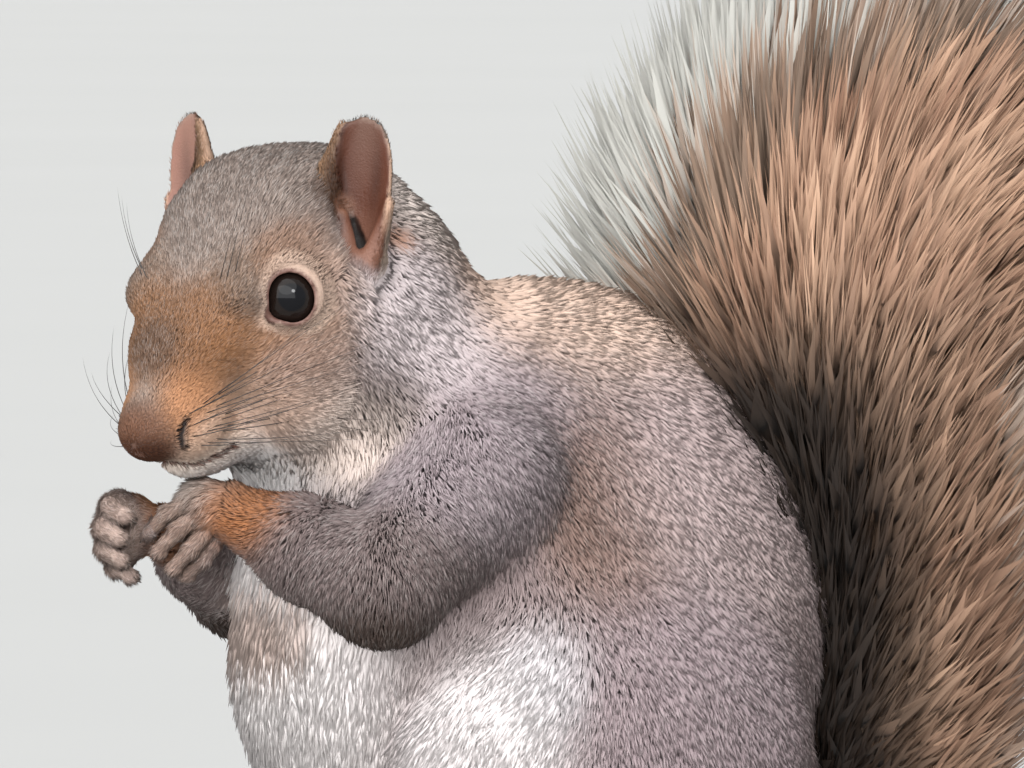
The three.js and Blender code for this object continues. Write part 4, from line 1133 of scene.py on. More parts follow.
def dressCoat(coat):
    roots, normals, regions, gaps, depth, lie, rng = coat
    n = len(roots)
    looks = np.array([coatLook[name] for name in regionNames])[regions].T
    _, overDepth, shortest, slim, jitter, bend, deepest = looks
    depth = np.minimum(depth, deepest)
    colour, grizzle = markingsAt(roots, gaps)
    bare = earPaint(roots, colour, grizzle, gaps)
    soft = 1 - np.clip(grizzle / 0.5, 0, 1)  # pale underside hair is longer and looser
    trunk = np.isin(regions, [regionNames.index("trunk"), regionNames.index("haunch")])
    length = (overDepth * depth + shortest) * rng.uniform(0.75, 1.25, n)
    length *= np.where(trunk, 1 + soft, 1)
    length = np.where(bare > 0.5, 0.9, length)
    rims = np.minimum(lidGap(roots, 1), lidGap(roots, -1))
    length *= np.clip(0.4 + (rims - 1.1) * 0.8, 0.4, 1)
    wander = waves(roots, 3, 9) * 0.5 + rng.normal(size=n)
    aim = unit(lie + np.cross(normals, lie) * (wander * jitter)[:, None])
    across = np.cross(normals, aim)
    lift = depth * (1 - 0.25 * soft * trunk) * bend * rng.uniform(0.82, 1.1, n)
    lift *= 1 + 0.06 * waves(roots, 5, 7)
    tipHigh = lift * rng.uniform(0.72, 1.02, n)
    start = roots - normals * 0.12
    bow = roots + normals * lift[:, None] * 0.98 + aim * length[:, None] * 0.3
    end = roots + normals * tipHigh[:, None] + aim * length[:, None]
    end += across * (rng.normal(size=n) * 0.05 * length)[:, None]
    middle = 0.25 * start + 0.5 * bow + 0.25 * end
    for place in (start, middle, end):
        place[:, 2] = np.maximum(place[:, 2], 0.4)
    width = (slim * length + 0.03) * rng.uniform(0.75, 1.3, n)
    width *= np.where(trunk, 1 + 0.5 * soft, 1)
    pick = np.clip(0.5 + 0.33 * rng.normal(size=n) * 0.8 + 0.13 * waves(roots, 8, 2.6), 0, 1)
    hair = {"markings": colour, "grizzle": grizzle, "pick": pick, "lay": normals, "begin": np.zeros(n),
            "flat": unrolled(roots, regions)}
    isName = {name: regions == number for number, name in enumerate(regionNames)}
    isRight = np.where(isName["head"] | isName["ear"], toHead(roots)[:, 0] < 0, roots[:, 0] < 0)
    isRight = np.where(isName["arm"] | isName["hand"], armSideOf(roots) < 0, isRight)
    isPale = (grizzle < 0.3) & isName["trunk"]
    for name in regionNames:
        for label, half in (("Left", ~isRight), ("Right", isRight)):
            for kind, share in (("", ~isPale), ("Pale", isPale)):
                part = isName[name] & half & share
                if part.any():
                    tufts = kiteTufts(start[part], middle[part], end[part], across[part], width[part])
                    slot = "pale_coat" if kind else coatSlots.get(name, "grey_coat")
                    makeTufts(name + "Coat" + label + kind, tufts, hair, part, slot)


# The tail is long hair from a slim core out to the brush's outline
tailPlan = {
    # across, in front of and behind the core, and turn, at even steps along it
    "hair": [(14, 12, 14, 0), (24, 15, 18, 8), (33, 20, 26, 18), (41, 27, 29, 28), (49, 40, 25, 34),
             (54, 49, 20, 36), (51, 49, 17, 32), (45, 42, 20, 26), (36, 33, 22, 20), (25, 25, 21, 14)],
    "sweep": 0.3, "tipHair": 14, "long": 12500, "short": 74000, "lean": 0.62, "width": 0.27, "arc": 262.0,
    "lockSize": (150, 26), "broadSide": (0.42, 0.907, 0),
    "warm": (180, 147, 123), "umber": (136, 104, 85), "band": (96, 84, 74),
}


def tailCurve(share):
    # centripetal Catmull-Rom through the tail's own line
    pts = np.vstack([2 * tailLine[0] - tailLine[1], tailLine, 2 * tailLine[-1] - tailLine[-2]])
    share = np.clip(share, 0, 1) * (len(tailLine) - 1)
    n = np.minimum(share.astype(int), len(tailLine) - 2)
    w = (share - n)[:, None]
    p0, p1, p2, p3 = pts[n], pts[n + 1], pts[n + 2], pts[n + 3]
    g0, g1, g2 = (np.sqrt(np.linalg.norm(b - a, axis=1))[:, None] for a, b in ((p0, p1), (p1, p2), (p2, p3)))
    t1 = ((p1 - p0) / g0 - (p2 - p0) / (g0 + g1) + (p2 - p1) / g1) * g1
    t2 = ((p2 - p1) / g1 - (p3 - p1) / (g1 + g2) + (p3 - p2) / g2) * g1
    return (p1 + t1 * w + (-3 * p1 + 3 * p2 - 2 * t1 - t2) * w ** 2 + (2 * p1 - 2 * p2 + t1 + t2) * w ** 3)


def tailFrame(share):
    step = 0.004
    along = unit(tailCurve(np.minimum(share + step, 1)) - tailCurve(np.maximum(share - step, 0)))
    back = unit(np.cross(along, np.array([1.0, 0, 0])))
    level = np.cross(back, along)
    table = np.array(tailPlan["hair"], float)
    spot = np.clip(share, 0, 1) * (len(table) - 1)
    n = np.minimum(spot.astype(int), len(table) - 2)
    beside, front, behind, twist = (table[n] + (table[n + 1] - table[n]) * (spot - n)[:, None]).T
    turn = np.radians(twist)[:, None]
    wide = level * np.cos(turn) + back * np.sin(turn)
    deep = back * np.cos(turn) - level * np.sin(turn)
    centre = tailCurve(share) + deep * ((behind - front) / 2)[:, None]
    centre += along * ((beside + front + behind) * tailPlan["sweep"] / 3)[:, None]
    return centre, along, wide, deep, beside, (front + behind) / 2


def tailHairs(rng):
    # hairs from the core, bowed outward, with their tips gathered in locks near the brush's outline
    n = tailPlan["long"] + tailPlan["short"]
    share = rng.beta(1.15, 1.0, n) * 1.04
    angle = rng.uniform(0, 2 * math.pi, n)
    reach = 1.03 - rng.random(n) ** 1.4 * 0.5
    rows, columns = tailPlan["lockSize"]
    lockRow = np.round(share * rows + rng.normal(size=n) * 0.3)
    lockColumn = np.round(angle / (2 * math.pi) * columns + 0.5 * (lockRow % 2) + rng.normal(size=n) * 0.2)
    # a fixed random share for each lock
    wobble = np.sin(lockRow * 12.9898 + lockColumn * 78.233) * 43758.5453
    wobble = wobble - np.floor(wobble)
    lockShare = (lockRow + wobble - 0.5) / rows
    lockAngle = (lockColumn - 0.5 * (lockRow % 2) + (wobble * 7 % 1) - 0.5) / columns * 2 * math.pi
    tipShare = np.clip(share + (lockShare - share) * 0.55, 0, 1)
    tipAngle = angle + (lockAngle - angle) * 0.5
    centre, along, wide, deep, beside, halfDeep = tailFrame(tipShare)
    beyond = np.clip(share - 0.86, 0, 1) / 0.18
    radius = reach * (1 - 0.12 * (wobble - 0.5)) * (1 - 0.25 * np.clip(beyond, 0, 1))
    spread = (wide * (np.cos(tipAngle) * beside * radius)[:, None]
              + deep * (np.sin(tipAngle) * halfDeep * radius)[:, None])
    tip = centre + spread + along * (beyond * tailPlan["tipHair"] * 1.5)[:, None]
    # roots sit on the core, nearer to the body than the tips
    size = np.linalg.norm(tip - tailCurve(tipShare), axis=1)
    rootBack = size * tailPlan["lean"] / tailPlan["arc"]
    rootShare = np.clip(tipShare - rootBack - rng.uniform(0, 0.02, n), 0.0, 1)
    _, rootAlong, rootWide, rootDeep, _, _ = tailFrame(rootShare)
    core = tailCurve(rootShare)
    outward = rootWide * np.cos(tipAngle)[:, None] + rootDeep * np.sin(tipAngle)[:, None]
    root = core + outward * ((6.0 - 4.5 * rootShare) * 0.8)[:, None]
    bow = root + outward * (size * 0.35)[:, None] + rootAlong * (size * 0.28)[:, None]
    tip = tip + rng.normal(size=(n, 3)) * (0.02 * size)[:, None]
    tip[:, 2] = np.maximum(tip[:, 2], 0.8)
    # nothing passes into the back: tips and bows are held off the trunk
    for _ in range(3):
        for p in (tip, bow):
            gap = fieldOf(*p.T, 0.35)
            deepIn = gap < 0
            if deepIn.any():
                p[deepIn] += unit(slopeOf(p[deepIn], 0.35)) * (-gap[deepIn])[:, None]

    def curve(t):
        return root * (1 - t) ** 2 + bow * 2 * t * (1 - t) + tip * t ** 2

    isShort = np.arange(n) >= tailPlan["long"]
    start = np.where(isShort, rng.uniform(0.38, 0.70, n), 0)
    begin, middle = curve(start[:, None]), curve((start[:, None] + 1) / 2)
    middle += rng.normal(size=(n, 3)) * 0.6
    tip += rng.normal(size=(n, 3)) * np.where(isShort, 1.5, 0.8)[:, None]
    tip[:, 2] = np.maximum(tip[:, 2], 0.8)
    lines = np.stack([begin, curve(0.36), curve(0.74), tip], 1)
    for place in (begin, middle, tip, lines):
        place[..., 2] = np.maximum(place[..., 2], 0.6)
    aim = unit(tip - begin)
    sideways = unit(np.cross(outward, aim) + rng.normal(size=(n, 3)) * 0.15)
    width = tailPlan["width"] * rng.uniform(0.7, 1.35, n)
    return {"share": share, "wobble": wobble, "isShort": isShort, "start": start, "begin": begin,
            "middle": middle, "tip": tip, "lines": lines, "sideways": sideways,
            "ridge": np.cross(aim, sideways), "width": width, "lay": unit(tip - core),
            "flat": np.stack([(angle / (2 * math.pi)) % 1, share], 1)}


def tailTones(made, rng):
    tip, share, isShort = made["tip"], made["share"], made["isShort"]
    # hair that ends near the outline of the brush's broad side ends in silver after a dark band
    edge, front = tailEdge(tip)
    edge = edge + 0.035 * rng.normal(size=len(tip)) + 0.03 * waves(tip, 37, 14)
    silver = np.where(front, ramp(edge, 0.77, 0.12), 0.4 * ramp(edge, 0.88, 0.1))
    silver *= ramp(share, 0.12, 0.2)
    # hair beside the rump is darkened for its whole length: its dark hair bases, and painted shade against
    # the back
    broad = np.array([tailPlan["broadSide"][1], -tailPlan["broadSide"][0], 0])
    seen = made["middle"] * 0.4 + tip * 0.6
    level = seen - np.outer((seen - [0, 20, 60]) @ broad, broad)
    besideGap, closeGap = (np.minimum(*(groupDistance(group, *p.T, 0) for group in bodyGroups[:2]))
                           for p in (level, seen))
    sideShare = ramp(seen[:, 0], -4, 22)
    trunkGap = besideGap * sideShare + (4 + 1.6 * closeGap) * (1 - sideShare)
    away = np.clip(np.maximum((trunkGap - 5) / 30, (seen[:, 2] - 98) / 24), 0, 1)
    away = away * away * (3 - 2 * away)
    warm, umber, dark = (linear(tailPlan[key]) for key in ("warm", "umber", "band"))
    mixed = 0.5 + 0.3 * waves(tip, 31, 26) + np.where(isShort, 0.14, 0.08) * rng.normal(size=len(tip))
    colour = umber + (warm - umber) * np.clip(mixed, 0, 1)[:, None]
    shadeBand = np.where(front, np.exp(-((edge - 0.7) / 0.1) ** 2), 0) * ramp(share, 0.3, 0.2)
    tint(colour, dark, 0.85 * shadeBand)
    # darkens the colour and dims the silver beside the rump: dark hair bases and painted shade
    colour *= (0.04 + 0.96 * away)[:, None]
    return colour, silver * (0.1 + 0.9 * away)


def growTail():
    rng = np.random.default_rng(23)
    made = tailHairs(rng)
    share, isShort, width = made["share"], made["isShort"], made["width"]
    colour, silver = tailTones(made, rng)
    pick = 0.5 + np.where(isShort, 0.2, 0.1) * rng.normal(size=len(share)) + 0.4 * (made["wobble"] - 0.5)
    hair = {"markings": colour, "grizzle": silver, "pick": np.clip(pick, 0, 1), "lay": made["lay"],
            "begin": made["start"], "flat": made["flat"]}
    widths = np.stack([width, width * 0.85], 1)
    for label, part, nodes in (("Low", ~isShort & (share < 0.5), ("tail_root", "tail_lower", "tail_middle")),
                               ("High", ~isShort & (share >= 0.5), ("tail_upper", "tail_tip")),
                               ("OuterLow", isShort & (share < 0.5), ()),
                               ("OuterHigh", isShort & (share >= 0.5), ())):
        if nodes:
            tufts = longTufts(made["lines"][part], widths[part], made["sideways"][part], made["ridge"][part])
        else:
            tufts = kiteTufts(*(made[key][part] for key in ("begin", "middle", "tip", "sideways", "width")))
        makeTufts("tailCoat" + label, tufts, hair, part, "tail_coat", nodes)


def tailEdge(tips):
    # from the broad side: how near a tip is to the brush's outline, and whether it is in front of the core
    broad = np.array(tailPlan["broadSide"])
    line = tailCurve(np.linspace(0, 1, 120))
    flatLine = np.stack([line @ broad, line[:, 2]], 1)
    ways = unit(np.gradient(flatLine, axis=0))
    flatTips = np.stack([tips @ broad, tips[:, 2]], 1)
    reach, nearest = np.full(len(tips), 1e9), np.zeros(len(tips), int)
    for n, spot in enumerate(flatLine):
        gap = np.hypot(*(flatTips - spot).T)
        closer = gap < reach
        reach[closer], nearest[closer] = gap[closer], n
    delta = flatTips - flatLine[nearest]
    front = ways[nearest, 0] * delta[:, 1] - ways[nearest, 1] * delta[:, 0] > 0
    edge = np.zeros(len(tips))
    bins = nearest // 8
    for side in (True, False):
        for k in range(bins.max() + 1):
            pick = (front == side) & (np.abs(nearest - (k * 8 + 4)) < 9)
            here = (front == side) & (bins == k)
            if pick.sum() > 20:
                edge[here] = reach[here] / np.percentile(reach[pick], 97)
    return edge, front


def makeEyes():
    rings, sectors = 40, 64
    polar = np.linspace(0, math.pi, rings + 1)[1:-1]
    turn = np.arange(sectors) / sectors * 2 * math.pi
    # the cornea stands proud
    radius = eyePlan["radius"] * (1 + eyePlan["cornea"] * np.exp(-(polar / 0.62) ** 4))
    turns = [(c, (c + 1) % sectors) for c in range(sectors)]
    quads = [(r * sectors + c, (r + 1) * sectors + c, (r + 1) * sectors + d, r * sectors + d)
             for r in range(len(polar) - 1) for c, d in turns]
    top, end = len(polar) * sectors, (len(polar) - 1) * sectors
    caps = [(top, c, d) for c, d in turns] + [(top + 1, end + d, end + c) for c, d in turns]
    angle = np.concatenate([np.repeat(polar, sectors), [0, math.pi]])
    for side, label in ((1, "Left"), (-1, "Right")):
        at, gaze, across, upward = eyeSpace(side)
        circle = np.cos(turn)[None, :, None] * across + np.sin(turn)[None, :, None] * upward
        onward, outward = ((wave(polar) * radius)[:, None, None] for wave in (np.cos, np.sin))
        body = onward * gaze + outward * circle
        points = np.vstack([at + body.reshape(-1, 3), at + gaze * radius[0], at - gaze * radius[-1]])
        makeMesh("eye" + label, points, [np.array(quads), np.array(caps)], materials["eye"],
                 ("eye_" + label.lower(),), {"fromPupil": angle})


def tubeAlong(line, radii, sides=8, flatten=1.0, up=(0.3, 0.2, 1.0)):
    # a closed tapered tube with a pointed end
    tangent = unit(np.gradient(line, axis=0))
    across = unit(np.cross(tangent, np.asarray(up, float)))
    over = np.cross(across, tangent)
    turn = np.arange(sides) / sides * 2 * math.pi
    wide, tall = (wave(turn)[None, :, None] * radii[:-1, None, None] for wave in (np.cos, np.sin))
    rings = line[:-1, None] + across[:-1, None] * (wide * flatten) + over[:-1, None] * tall
    points = np.vstack([rings.reshape(-1, 3), line[-1:], line[:1]])
    turns = [(c, (c + 1) % sides) for c in range(sides)]
    faces = []
    for r in range(0, (len(line) - 2) * sides, sides):
        for c, d in turns:
            faces += [(r + c, r + d, r + sides + d), (r + c, r + sides + d, r + sides + c)]
    last, tip, root = (len(line) - 2) * sides, len(points) - 2, len(points) - 1
    for c, d in turns:
        faces += [(last + c, last + d, tip), (d, c, root)]
    return points, np.array(faces)


clawPlan = {
    "hand": {"length": 2.1, "radius": 0.62}, "foot": {"length": 4.2, "radius": 0.72},
    "steps": 9, "sides": 10, "taper": 0.82, "flatten": 0.8, "inside": 0.9, "curl": 0.42,
}


def makeClaw(limbName, label, number, tip, aim, bend, up):
    t = np.linspace(0, 1, clawPlan["steps"])
    size, inside = clawPlan[limbName], clawPlan["inside"]
    length, radii = size["length"], size["radius"] * (1 - clawPlan["taper"] * t ** 1.3)
    line = (tip - aim * inside + aim * (t * (length + inside))[:, None]
            + bend * (clawPlan["curl"] * length * t ** 2)[:, None])
    if limbName == "foot":  # the claw rests on the floor
        line[:, 2] = np.maximum(np.maximum(line[:, 2] - 0.1, 0.25), radii + 0.05)
    points, faces = tubeAlong(line, radii, clawPlan["sides"], clawPlan["flatten"], up)
    along = np.append(np.repeat(t[:-1], clawPlan["sides"]), [1, 0])
    makeMesh(f"claw{limbName.title()}{label.title()}{number}", points, faces, materials["claw"],
             (f"claw_{limbName}_{label}_{number}",), {"along": along})


def makeClaws():
    for side, label in ((1, "left"), (-1, "right")):
        for n, finger in enumerate(handPlan[side]["fingers"]):
            _, joint, tip = np.array(finger, float)
            bend = unit([-1.0 * side, 0.5, -0.6])
            makeClaw("hand", label, n + 1, tip, unit(tip - joint), bend, bend)
        for n, (_, _, tip, aim) in enumerate(toeLines(side)):
            makeClaw("foot", label, n + 1, tip + np.array([0, 0, 0.5]), aim, np.array([0, 0, -1.0]),
                     (0.3, 0.2, 1.0))


whiskerPlan = {
    "rows": 4, "each": 5, "length": (26, 42), "radius": 0.095,
    "brow": {"places": [(9, 25, 17), (7.5, 24, 17.5), (10, 27, 16.5)], "aim": (0.5, 0.25, 1.0),
             "length": (14, 20)},
    "cheek": {"places": [(15, 22, -9), (14, 24, -10)], "aim": (0.9, 0.6, -0.5), "length": (12, 20)},
}


def makeWhiskers():
    rng = np.random.default_rng(5)
    t = np.linspace(0, 1, 10)
    for side, label in ((1, "Left"), (-1, "Right")):
        hairs = []  # place on the head, aim and length of each
        for row in range(whiskerPlan["rows"]):
            for n in range(whiskerPlan["each"]):
                stray = [rng.uniform(-reach, reach) for reach in (0.3, 0.3, 0.1, 0.1)]
                place = (6.6, 8.5 + n * 1.7 + stray[0], -0.8 - row * 1.7 + stray[1])
                aim = (0.8, 0.42 + 0.17 * n + stray[2], 0.3 - 0.2 * row + stray[3])
                hairs.append((place, aim, rng.uniform(*whiskerPlan["length"]) * (0.7 + 0.3 * n / 4)))
        for plan in (whiskerPlan["brow"], whiskerPlan["cheek"]):
            hairs += [(place, plan["aim"], rng.uniform(*plan["length"])) for place in plan["places"]]
        allPoints, allFaces, start = [], [], 0
        for place, aim, length in hairs:
            base = onSkin(headPoint(place[0] * side, place[1], place[2]))
            droop = headAxes @ np.array([-0.3 * side, 0.5, -0.1 + rng.uniform(-0.25, 0.2)])
            line = (base + unit(headAxes @ (np.array(aim) * (side, 1, 1))) * (t * length)[:, None]
                    + droop * (t ** 2 * length * 0.35)[:, None])
            points, faces = tubeAlong(line, whiskerPlan["radius"] * (1 - 0.85 * t), 4)
            allPoints.append(points)
            allFaces.append(faces + start)
            start += len(points)
        makeMesh("whiskers" + label, np.vstack(allPoints), np.vstack(allFaces), materials["whisker"])


def newGroup(name, inputs, output, kind):
    group = bpy.data.node_groups.new(name, "ShaderNodeTree")
    for label, socketKind, value in inputs:
        socket = group.interface.new_socket(label, in_out="INPUT", socket_type="NodeSocket" + socketKind)
        if value is not None:
            socket.default_value = value
    group.interface.new_socket(output, in_out="OUTPUT", socket_type="NodeSocket" + kind)
    return group, group.nodes.new("NodeGroupInput").outputs, group.nodes.new("NodeGroupOutput").inputs[output]


def feed(tree, socket, value):
    # a number or a colour is set on the socket, an output is linked to it
    if isinstance(value, (int, float)):
        socket.default_value = value
    elif isinstance(value, tuple):
        socket.default_value = (*value, 1.0)
    elif value is not None:
        tree.links.new(value, socket)


def mathNode(tree, kind, a, b=None, c=None, clamp=False):
    node = tree.nodes.new("ShaderNodeMath")
    node.operation = kind
    node.use_clamp = clamp
    for socket, value in zip(node.inputs, (a, b, c)):
        feed(tree, socket, value)
    return node.outputs[0]


def scaledColour(tree, colour, factor):
    node = tree.nodes.new("ShaderNodeVectorMath")
    node.operation = "SCALE"
    feed(tree, node.inputs[0], colour)
    feed(tree, node.inputs["Scale"], factor)
    return node.outputs[0]


def mixNode(tree, factor, a, b):
    node = tree.nodes.new("ShaderNodeMix")
    node.data_type = "RGBA"
    for n, value in ((0, factor), (6, a), (7, b)):
        feed(tree, node.inputs[n], value)
    return node.outputs[2]


def stepNode(tree, value, low, high):
    node = tree.nodes.new("ShaderNodeMapRange")
    node.interpolation_type = "SMOOTHSTEP"
    tree.links.new(value, node.inputs[0])
    node.inputs[1].default_value, node.inputs[2].default_value = low, high
    return node.outputs[0]


def noiseNode(tree, scale, detail=2.0, rough=0.5):
    # noise in the piece's own space
    node = tree.nodes.new("ShaderNodeTexNoise")
    for label, value in (("Scale", scale), ("Detail", detail), ("Roughness", rough)):
        node.inputs[label].default_value = value
    tree.links.new(tree.nodes.new("ShaderNodeTexCoord").outputs["Object"], node.inputs["Vector"])
    return node.outputs["Fac"]


def attribute(tree, name, output="Fac"):
    node = tree.nodes.new("ShaderNodeAttribute")
    node.attribute_name = name
    return node.outputs[output]


def hairShadeGroup():
    # one hair's colour from its root to its tip: dark root, body colour, dark band, pale tip
    group, s, out = newGroup("hairShade", [
        ("Markings", "Color", (0.5, 0.5, 0.5, 1)), ("Along", "Float", 0.5), ("Pick", "Float", 0.5),
        ("Grizzle", "Float", 1.0), ("Root Dark", "Float", 0.55), ("Band Dark", "Float", 0.6),
        ("Tip Pale", "Float", 0.6), ("Uneven", "Float", 0.25)], "Color", "Color")
    root = mathNode(group, "MULTIPLY", stepNode(group, s["Along"], 0.62, 0.08), s["Root Dark"])
    uneven = mathNode(group, "MULTIPLY_ADD", mathNode(group, "SUBTRACT", s["Pick"], 0.5), s["Uneven"], 1.0)
    colour = scaledColour(group, s["Markings"], uneven)
    for along, pick, strength, tone in (((0.5, 0.95), (0.5, 0.75), "Tip Pale", (0.92, 0.88, 0.84)),
                                        ((0.35, 0.7), (0.47, 0.22), "Band Dark", (0.035, 0.028, 0.024))):
        here = mathNode(group, "MULTIPLY", stepNode(group, s["Along"], *along),
                        stepNode(group, s["Pick"], *pick))
        much = mathNode(group, "MULTIPLY", s["Grizzle"], s[strength])
        colour = mixNode(group, mathNode(group, "MULTIPLY", here, much, clamp=True), colour, tone)
    feed(group, out, mixNode(group, root, colour, (0.06, 0.052, 0.05)))
    return group


def softLayGroup():
    # turns each tuft's own normal towards that of the coat it lies in, as light spreads through real fur
    group, s, out = newGroup("softLay", [("Lay", "Vector", None), ("Soften", "Float", 0.6)],
                             "Normal", "Vector")
    blend = group.nodes.new("ShaderNodeMix")
    blend.data_type = "VECTOR"
    own = group.nodes.new("ShaderNodeNewGeometry").outputs["Normal"]
    for n, value in ((0, s["Soften"]), (4, own), (5, s["Lay"])):
        feed(group, blend.inputs[n], value)
    straight = group.nodes.new("ShaderNodeVectorMath")
    straight.operation = "NORMALIZE"
    feed(group, straight.inputs[0], blend.outputs[1])
    feed(group, out, straight.outputs[0])
    return group


def tailShadeGroup():
    # dark root, body colour, a band and a sandy tip, or a silver one near the brush's outline
    group, s, out = newGroup("tailShade", [
        ("Markings", "Color", (0.5, 0.4, 0.3, 1)), ("Along", "Float", 0.5), ("Pick", "Float", 0.5),
        ("Grizzle", "Float", 1.0)], "Color", "Color")
    uneven = mathNode(group, "MULTIPLY_ADD", mathNode(group, "SUBTRACT", s["Pick"], 0.5), 0.3, 1.0)
    shade = scaledColour(group, s["Markings"], uneven)
    wave = mathNode(group, "MULTIPLY_ADD", s["Pick"], 0.14, s["Along"])
    shifted = mathNode(group, "MULTIPLY_ADD", s["Grizzle"], 0.25, wave)
    band = mathNode(group, "MULTIPLY", stepNode(group, shifted, 0.66, 0.76),
                    stepNode(group, shifted, 0.96, 0.84))
    strength = mathNode(group, "MULTIPLY_ADD", s["Grizzle"], 0.5, 0.12)
    banded = mathNode(group, "MULTIPLY", band, strength, clamp=True)
    colour = mixNode(group, banded, shade, (0.045, 0.03, 0.022))
    sandy = mathNode(group, "MULTIPLY", stepNode(group, shifted, 0.9, 1.02), 0.4, clamp=True)
    colour = mixNode(group, sandy, colour, scaledColour(group, shade, 1.4))
    silver = mathNode(group, "MULTIPLY", stepNode(group, shifted, 0.84, 0.98), s["Grizzle"], clamp=True)
    colour = mixNode(group, silver, colour, (0.50, 0.49, 0.45))
    root = mathNode(group, "MULTIPLY", stepNode(group, wave, 0.22, 0.02), 0.75)
    feed(group, out, mixNode(group, root, colour, (0.05, 0.036, 0.028)))
    return group


def newMaterial(name, **constants):
    material = bpy.data.materials.new(name)
    material.use_nodes = True
    shader = material.node_tree.nodes["Principled BSDF"]
    for label, value in constants.items():
        shader.inputs[label.replace("_", " ")].default_value = value
    return material, material.node_tree, shader.inputs


def placeGroup(tree, group, **values):
    node = tree.nodes.new("ShaderNodeGroup")
    node.node_tree = group
    for label, value in values.items():
        feed(tree, node.inputs[label.replace("_", " ")], value)
    return node.outputs[0]


def coatMaterial(name, rough, shade, softLay, soften, **values):
    material, tree, shader = newMaterial(name, Roughness=rough, Specular_IOR_Level=0.14)
    colour = placeGroup(tree, shade, Markings=attribute(tree, "markings", "Color"),
                        Along=attribute(tree, "along"), Pick=attribute(tree, "pick"),
                        Grizzle=attribute(tree, "grizzle"), **values)
    feed(tree, shader["Base Color"], colour)
    lay = placeGroup(tree, softLay, Lay=attribute(tree, "lay", "Vector"), Soften=soften)
    feed(tree, shader["Normal"], lay)
    return material


coatFinish = {  # roughness, root dark, band dark, tip pale, uneven
    "grey_coat": (0.75, 0.13, 0.28, 0.22, 0.12),
    "pale_coat": (0.78, 0.0, 0.04, 0.15, 0.05),
    "ear_skin": (0.7, 0.12, 0.25, 0.2, 0.2),
    "paw_skin": (0.7, 0.26, 0.5, 0.45, 0.4),
}
skinFinish = {
    "grain": (2600, 3, 0.6), "crease": (700, 4, 0.65), "strength": 0.5, "distance": 0.00025,
    # under: the near black of the furred skin, for dark underfur and painted shade deep in the coat
    "under": (0.05, 0.042, 0.038), "flush": (0.12, 0.055, 0.038),
}


def makeMaterials():
    hairShade, tailShade, softLay = hairShadeGroup(), tailShadeGroup(), softLayGroup()
    made = {}
    for slot, (rough, rootDark, bandDark, tipPale, uneven) in coatFinish.items():
        made[slot] = coatMaterial(slot.split("_")[0] + "Coat", rough, hairShade, softLay, 0.94,
                                  Root_Dark=rootDark, Band_Dark=bandDark, Tip_Pale=tipPale, Uneven=uneven)
    made["tail_coat"] = coatMaterial("tailCoat", 0.55, tailShade, softLay, 0.85)

    # hair-covered skin, with bare parts that are finely creased
    made["skin"], tree, shader = newMaterial("squirrelSkin", Roughness=0.6, Specular_IOR_Level=0.4)
    bare, painted = attribute(tree, "bare"), attribute(tree, "markings", "Color")
    grain, crease = noiseNode(tree, *skinFinish["grain"]), noiseNode(tree, *skinFinish["crease"])
    # the furred skin darkens in a fine grain toward near black: dark underfur, and painted shade deep between
    # the tufts
    covered = mixNode(tree, mathNode(tree, "MULTIPLY_ADD", grain, 0.3, 0.1), painted, skinFinish["under"])
    naked = mixNode(tree, mathNode(tree, "MULTIPLY", crease, 0.3), painted, skinFinish["flush"])
    feed(tree, shader["Base Color"], mixNode(tree, bare, covered, naked))
    feed(tree, shader["Roughness"], mathNode(tree, "MULTIPLY_ADD", bare, -0.16, 0.64))
    bump = tree.nodes.new("ShaderNodeBump")
    feed(tree, bump.inputs["Strength"], skinFinish["strength"])
    feed(tree, bump.inputs["Distance"], skinFinish["distance"])
    feed(tree, bump.inputs["Height"], mathNode(tree, "MULTIPLY_ADD", crease, 0.6, grain))
    feed(tree, shader["Normal"], bump.outputs["Normal"])

    made["eye"], tree, shader = newMaterial("eyeBall", Roughness=0.08, Specular_IOR_Level=0.16,
                                            Coat_Weight=0.2, Coat_Roughness=0.02, Coat_IOR=1.38)
    angle = attribute(tree, "fromPupil")
    iris = mixNode(tree, stepNode(tree, angle, 0.42, 0.5), (0.002, 0.002, 0.003), (0.008, 0.005, 0.004))
    white = stepNode(tree, angle, 0.85, 1.05)
    feed(tree, shader["Base Color"], mixNode(tree, white, iris, (0.006, 0.004, 0.004)))

    made["claw"], tree, shader = newMaterial("clawHorn", Roughness=0.32, Specular_IOR_Level=0.5)
    tipward = mathNode(tree, "MULTIPLY", attribute(tree, "along"), 0.5)
    streak = mathNode(tree, "MULTIPLY_ADD", noiseNode(tree, 1800), 0.5, tipward, clamp=True)
    feed(tree, shader["Base Color"], mixNode(tree, streak, (0.075, 0.045, 0.03), (0.02, 0.014, 0.012)))

    for key, name, shine, noise, tones in (
            ("whisker", "whiskerHair", {"Roughness": 0.4}, (90, 1),
             ((0.012, 0.01, 0.009), (0.05, 0.04, 0.035))),
            ("floor", "studioFloor", {"Roughness": 0.9, "Specular_IOR_Level": 0.1}, (3, 3),
             ((0.44, 0.44, 0.43), (0.46, 0.46, 0.45)))):
        made[key], tree, shader = newMaterial(name, **shine)
        feed(tree, shader["Base Color"], mixNode(tree, noiseNode(tree, *noise), *tones))
    return made


cameraPlan = {"azimuth": 65.0, "elevation": 2.0, "distance": 3500.0, "aim": (0, 0, 100.2), "lens": 726.0}
floorPlan = {"reach": 40.0, "cells": 8}
lightPlan = {
    "world": 0.85,
    "lamps": {"key": {"power": 1.75, "spread": 70, "from": (56, 48)},
              "fill": {"power": 4.0, "spread": 100, "from": (40, 2)},
              "catch": {"power": 0.8, "spread": 13, "from": (85, 27)}},
}


def directionFrom(azimuth, elevation):
    a, e = math.radians(azimuth), math.radians(elevation)
    return np.array([math.sin(a) * math.cos(e), -math.cos(a) * math.cos(e), math.sin(e)])


def facing(way):
    return Vector(way).to_track_quat("Z", "Y").to_euler()


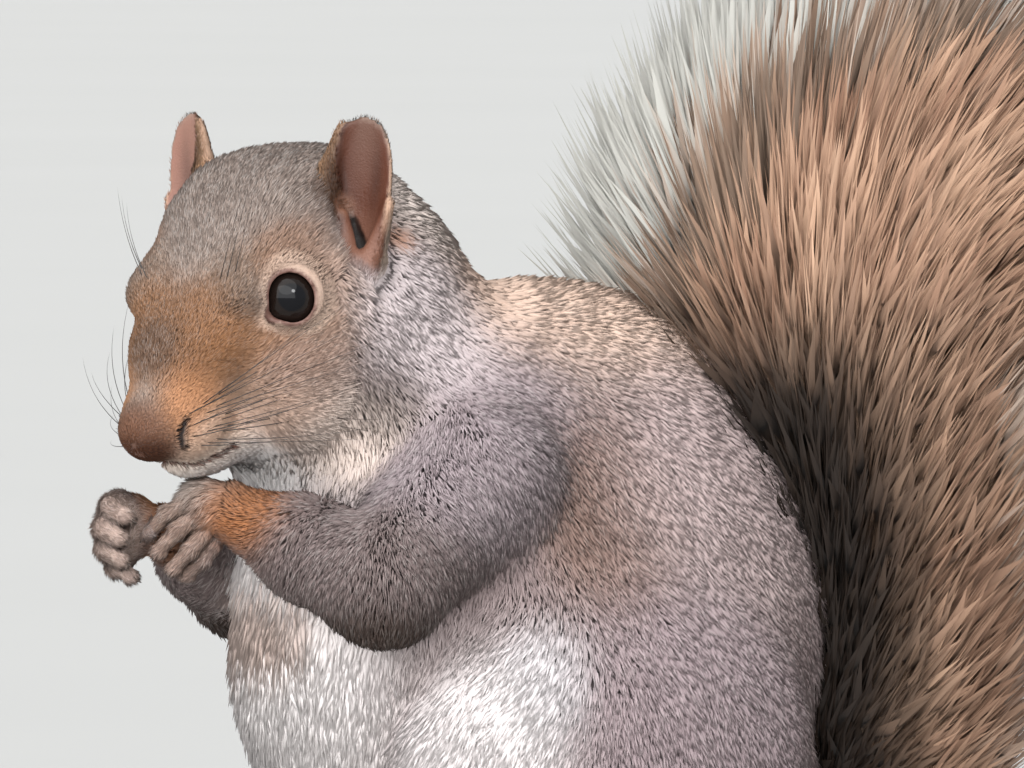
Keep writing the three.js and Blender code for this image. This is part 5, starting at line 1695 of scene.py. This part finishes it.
def makeStage():
    reach, cells = floorPlan["reach"], floorPlan["cells"]
    steps, row = np.linspace(-reach, reach, cells + 1), cells + 1
    mesh = bpy.data.meshes.new("floor")
    quads = [(n, n + 1, n + row + 1, n + row)
             for r in range(cells) for n in range(r * row, r * row + cells)]
    mesh.from_pydata([(x, y, 0.0) for y in steps for x in steps], [], quads)
    mesh.materials.append(materials["floor"])
    floor = newObject("floor", mesh)
    floor.visible_shadow = False  # light also rises softly from below, as from a lit table
    world = bpy.data.worlds.new("studio")
    bpy.context.scene.world = world
    world.use_nodes = True
    sky = world.node_tree.nodes["Background"].inputs
    sky[0].default_value, sky[1].default_value = (0.97, 0.985, 1.0, 1), lightPlan["world"]
    for name, plan in lightPlan["lamps"].items():
        light = bpy.data.lights.new(name, "SUN")
        light.energy, light.angle = plan["power"], math.radians(plan["spread"])
        newObject(name, light).rotation_euler = facing(directionFrom(*plan["from"]))
    camera = bpy.data.cameras.new("camera")
    camera.lens, camera.sensor_width, camera.clip_end = cameraPlan["lens"], 36, 100
    away = directionFrom(cameraPlan["azimuth"], cameraPlan["elevation"])
    eye = newObject("camera", camera)
    eye.location = toRow(np.array(cameraPlan["aim"], float) + away * cameraPlan["distance"])
    eye.rotation_euler = facing(away)
    bpy.context.scene.camera = eye
    bpy.context.scene.view_settings.view_transform = "Standard"


materials = makeMaterials()
makeStage()
skinPoints, skinQuads = buildSkin()
skinGaps = regionGaps(skinPoints)
skinColour, skinGrizzle = markingsAt(skinPoints, skinGaps)
skinBare = earPaint(skinPoints, skinColour, skinGrizzle, skinGaps)
skinBare = np.maximum(skinBare, np.clip((1.6 - noseGap(skinPoints)) / 1.0, 0, 1))
for side in (1, -1):
    skinBare = np.maximum(skinBare, np.clip((1.2 - lidGap(skinPoints, side)) / 0.1, 0, 1))
fleshNodes = [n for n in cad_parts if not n.startswith(("eye", "claw", "tail"))]
makeMesh("squirrelSkin", skinPoints, skinQuads, materials["skin"], fleshNodes,
         {"markings": skinColour, "bare": skinBare})
print("skin painted")
dressCoat(growCoat(skinPoints, skinQuads))
growTail()
makeEyes()
makeClaws()
makeWhiskers()
print("eyes, claws and whiskers in place")
